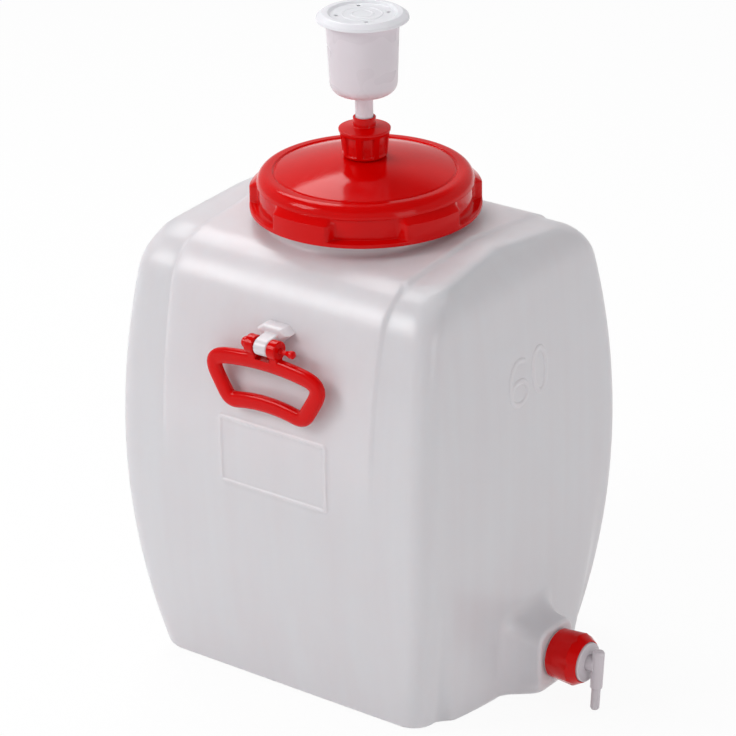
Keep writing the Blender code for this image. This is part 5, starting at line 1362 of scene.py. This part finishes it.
# %% [markdown]
# The seals keep their CAD shape, for a plain ring has nothing to add. A CAD node is never changed;
# only its material slots are filled, here with the rubber.

# %% Seals
SEALS = ("lid_seal", "airlock_seal", "tap_seal", "tap_o_ring")
for item in bpy.data.objects:
    if item.type == "MESH" and item.name.split(".")[0] in SEALS:
        for socket in item.material_slots:
            socket.material = rubber
        print(item.name, "slots:", len(item.material_slots))

# %% [markdown]
# The floor is white seamless paper. Lamps alone would leave it grey or burn the object out, so to
# the camera, in reflections and through glass most of it shines as plain white, and the rest stays
# paper, which keeps the barrel's soft shadow.

# %% Floor
FLOOR_HALF, FLOOR_HEIGHT, WHITE_SHARE = 8.0, -0.0003, 0.93


def largest(tree, *sockets):
    """The largest of some ray switches: 1 where any of them is on."""
    found = sockets[0]
    for socket in sockets[1:]:
        found = add(tree, "ShaderNodeMath", {0: found, 1: socket}, operation="MAXIMUM")
    return found


def studio_floor():
    material = bpy.data.materials.new("white seamless paper")
    material.use_nodes = True
    tree = material.node_tree
    tree.nodes.remove(tree.nodes["Principled BSDF"])
    paper = add(tree, "ShaderNodeBsdfDiffuse", {"Color": linear("#fafafa")})
    glow = add(tree, "ShaderNodeEmission", {"Color": (1, 1, 1, 1), "Strength": 1.0})
    ray = add(tree, "ShaderNodeLightPath").outputs
    seen = largest(tree, ray["Is Camera Ray"], ray["Is Glossy Ray"], ray["Is Transmission Ray"])
    share = add(tree, "ShaderNodeMath", {0: seen, 1: WHITE_SHARE}, operation="MULTIPLY")
    both = add(tree, "ShaderNodeMixShader", {0: share, 1: paper, 2: glow})
    wire(tree, tree.nodes["Material Output"], {"Surface": both})
    corners = [(x * FLOOR_HALF, y * FLOOR_HALF, FLOOR_HEIGHT)
               for x, y in ((-1, -1), (1, -1), (1, 1), (-1, 1))]
    return piece_from("floor", corners, [(0, 1, 2, 3)], material)


floor = studio_floor()
print("floor:", 2 * FLOOR_HALF, "m wide")

# %% [markdown]
# The world is the studio's white walls. It lights the object evenly at half strength. Gloss sees
# it bright near the horizon and dim overhead, as a room with a dark ceiling, which draws the long
# soft edges on the lid and keeps its dome red. The camera and clear plastics see plain white.

# %% World
ROOM, SKY_LOW, SKY_HIGH, HORIZON, CEILING = 0.50, 0.50, 0.72, 0.55, 0.14

world = bpy.data.worlds.new("studio")
bpy.context.scene.world = world
world.use_nodes = True
tree = world.node_tree
ray = add(tree, "ShaderNodeLightPath").outputs
direction = add(tree, "ShaderNodeTexCoord").outputs["Generated"]
height = add(tree, "ShaderNodeSeparateXYZ", {0: direction}).outputs["Z"]
sky = add(tree, "ShaderNodeMapRange", {0: height, 1: SKY_LOW, 2: SKY_HIGH, 3: HORIZON,
                                       4: CEILING}, interpolation_type="SMOOTHSTEP")
plain = tree.nodes["Background"]
wire(tree, plain, {"Color": (1, 1, 1, 1), "Strength": ROOM})
mirror = add(tree, "ShaderNodeBackground", {"Color": (1, 1, 1, 1), "Strength": sky})
white = add(tree, "ShaderNodeBackground", {"Color": (1, 1, 1, 1), "Strength": 1.0})
first = add(tree, "ShaderNodeMixShader", {0: ray["Is Glossy Ray"], 1: plain, 2: mirror})
direct = largest(tree, ray["Is Camera Ray"], ray["Is Transmission Ray"])
last = add(tree, "ShaderNodeMixShader", {0: direct, 1: first, 2: white})
wire(tree, tree.nodes["World Output"], {"Surface": last})
bpy.context.scene.view_settings.view_transform = "Standard"
print("world has", len(tree.nodes), "nodes")

# %% [markdown]
# Three area lamps, as large as studio soft boxes, shape the object: a key from the camera's left,
# a top light that draws the shoulders, and a weak fill that keeps the tap's side open. Small or
# strong lamps would give hard spots and clip the milky shell.

# %% Lamps
def soft_box(name, place, target, size, power):
    lamp = bpy.data.lights.new(name, "AREA")
    lamp.shape = "RECTANGLE"
    lamp.size, lamp.size_y = size
    lamp.energy = power
    item = bpy.data.objects.new(name, lamp)
    bpy.context.scene.collection.objects.link(item)
    item.location = place
    item.rotation_euler = (Vector(target) - Vector(place)).to_track_quat("-Z", "Y").to_euler()
    print(name, power, "W")


soft_box("key_light", (-1.7, -2.2, 2.3), (0, 0, 0.35), (1.3, 1.3), 41.0)
soft_box("top_light", (-1.2, 0.7, 2.4), (0, 0, 0.45), (1.2, 1.2), 22.0)
soft_box("fill_light", (2.6, -0.6, 0.8), (0, 0, 0.2), (1.0, 1.4), 9.0)
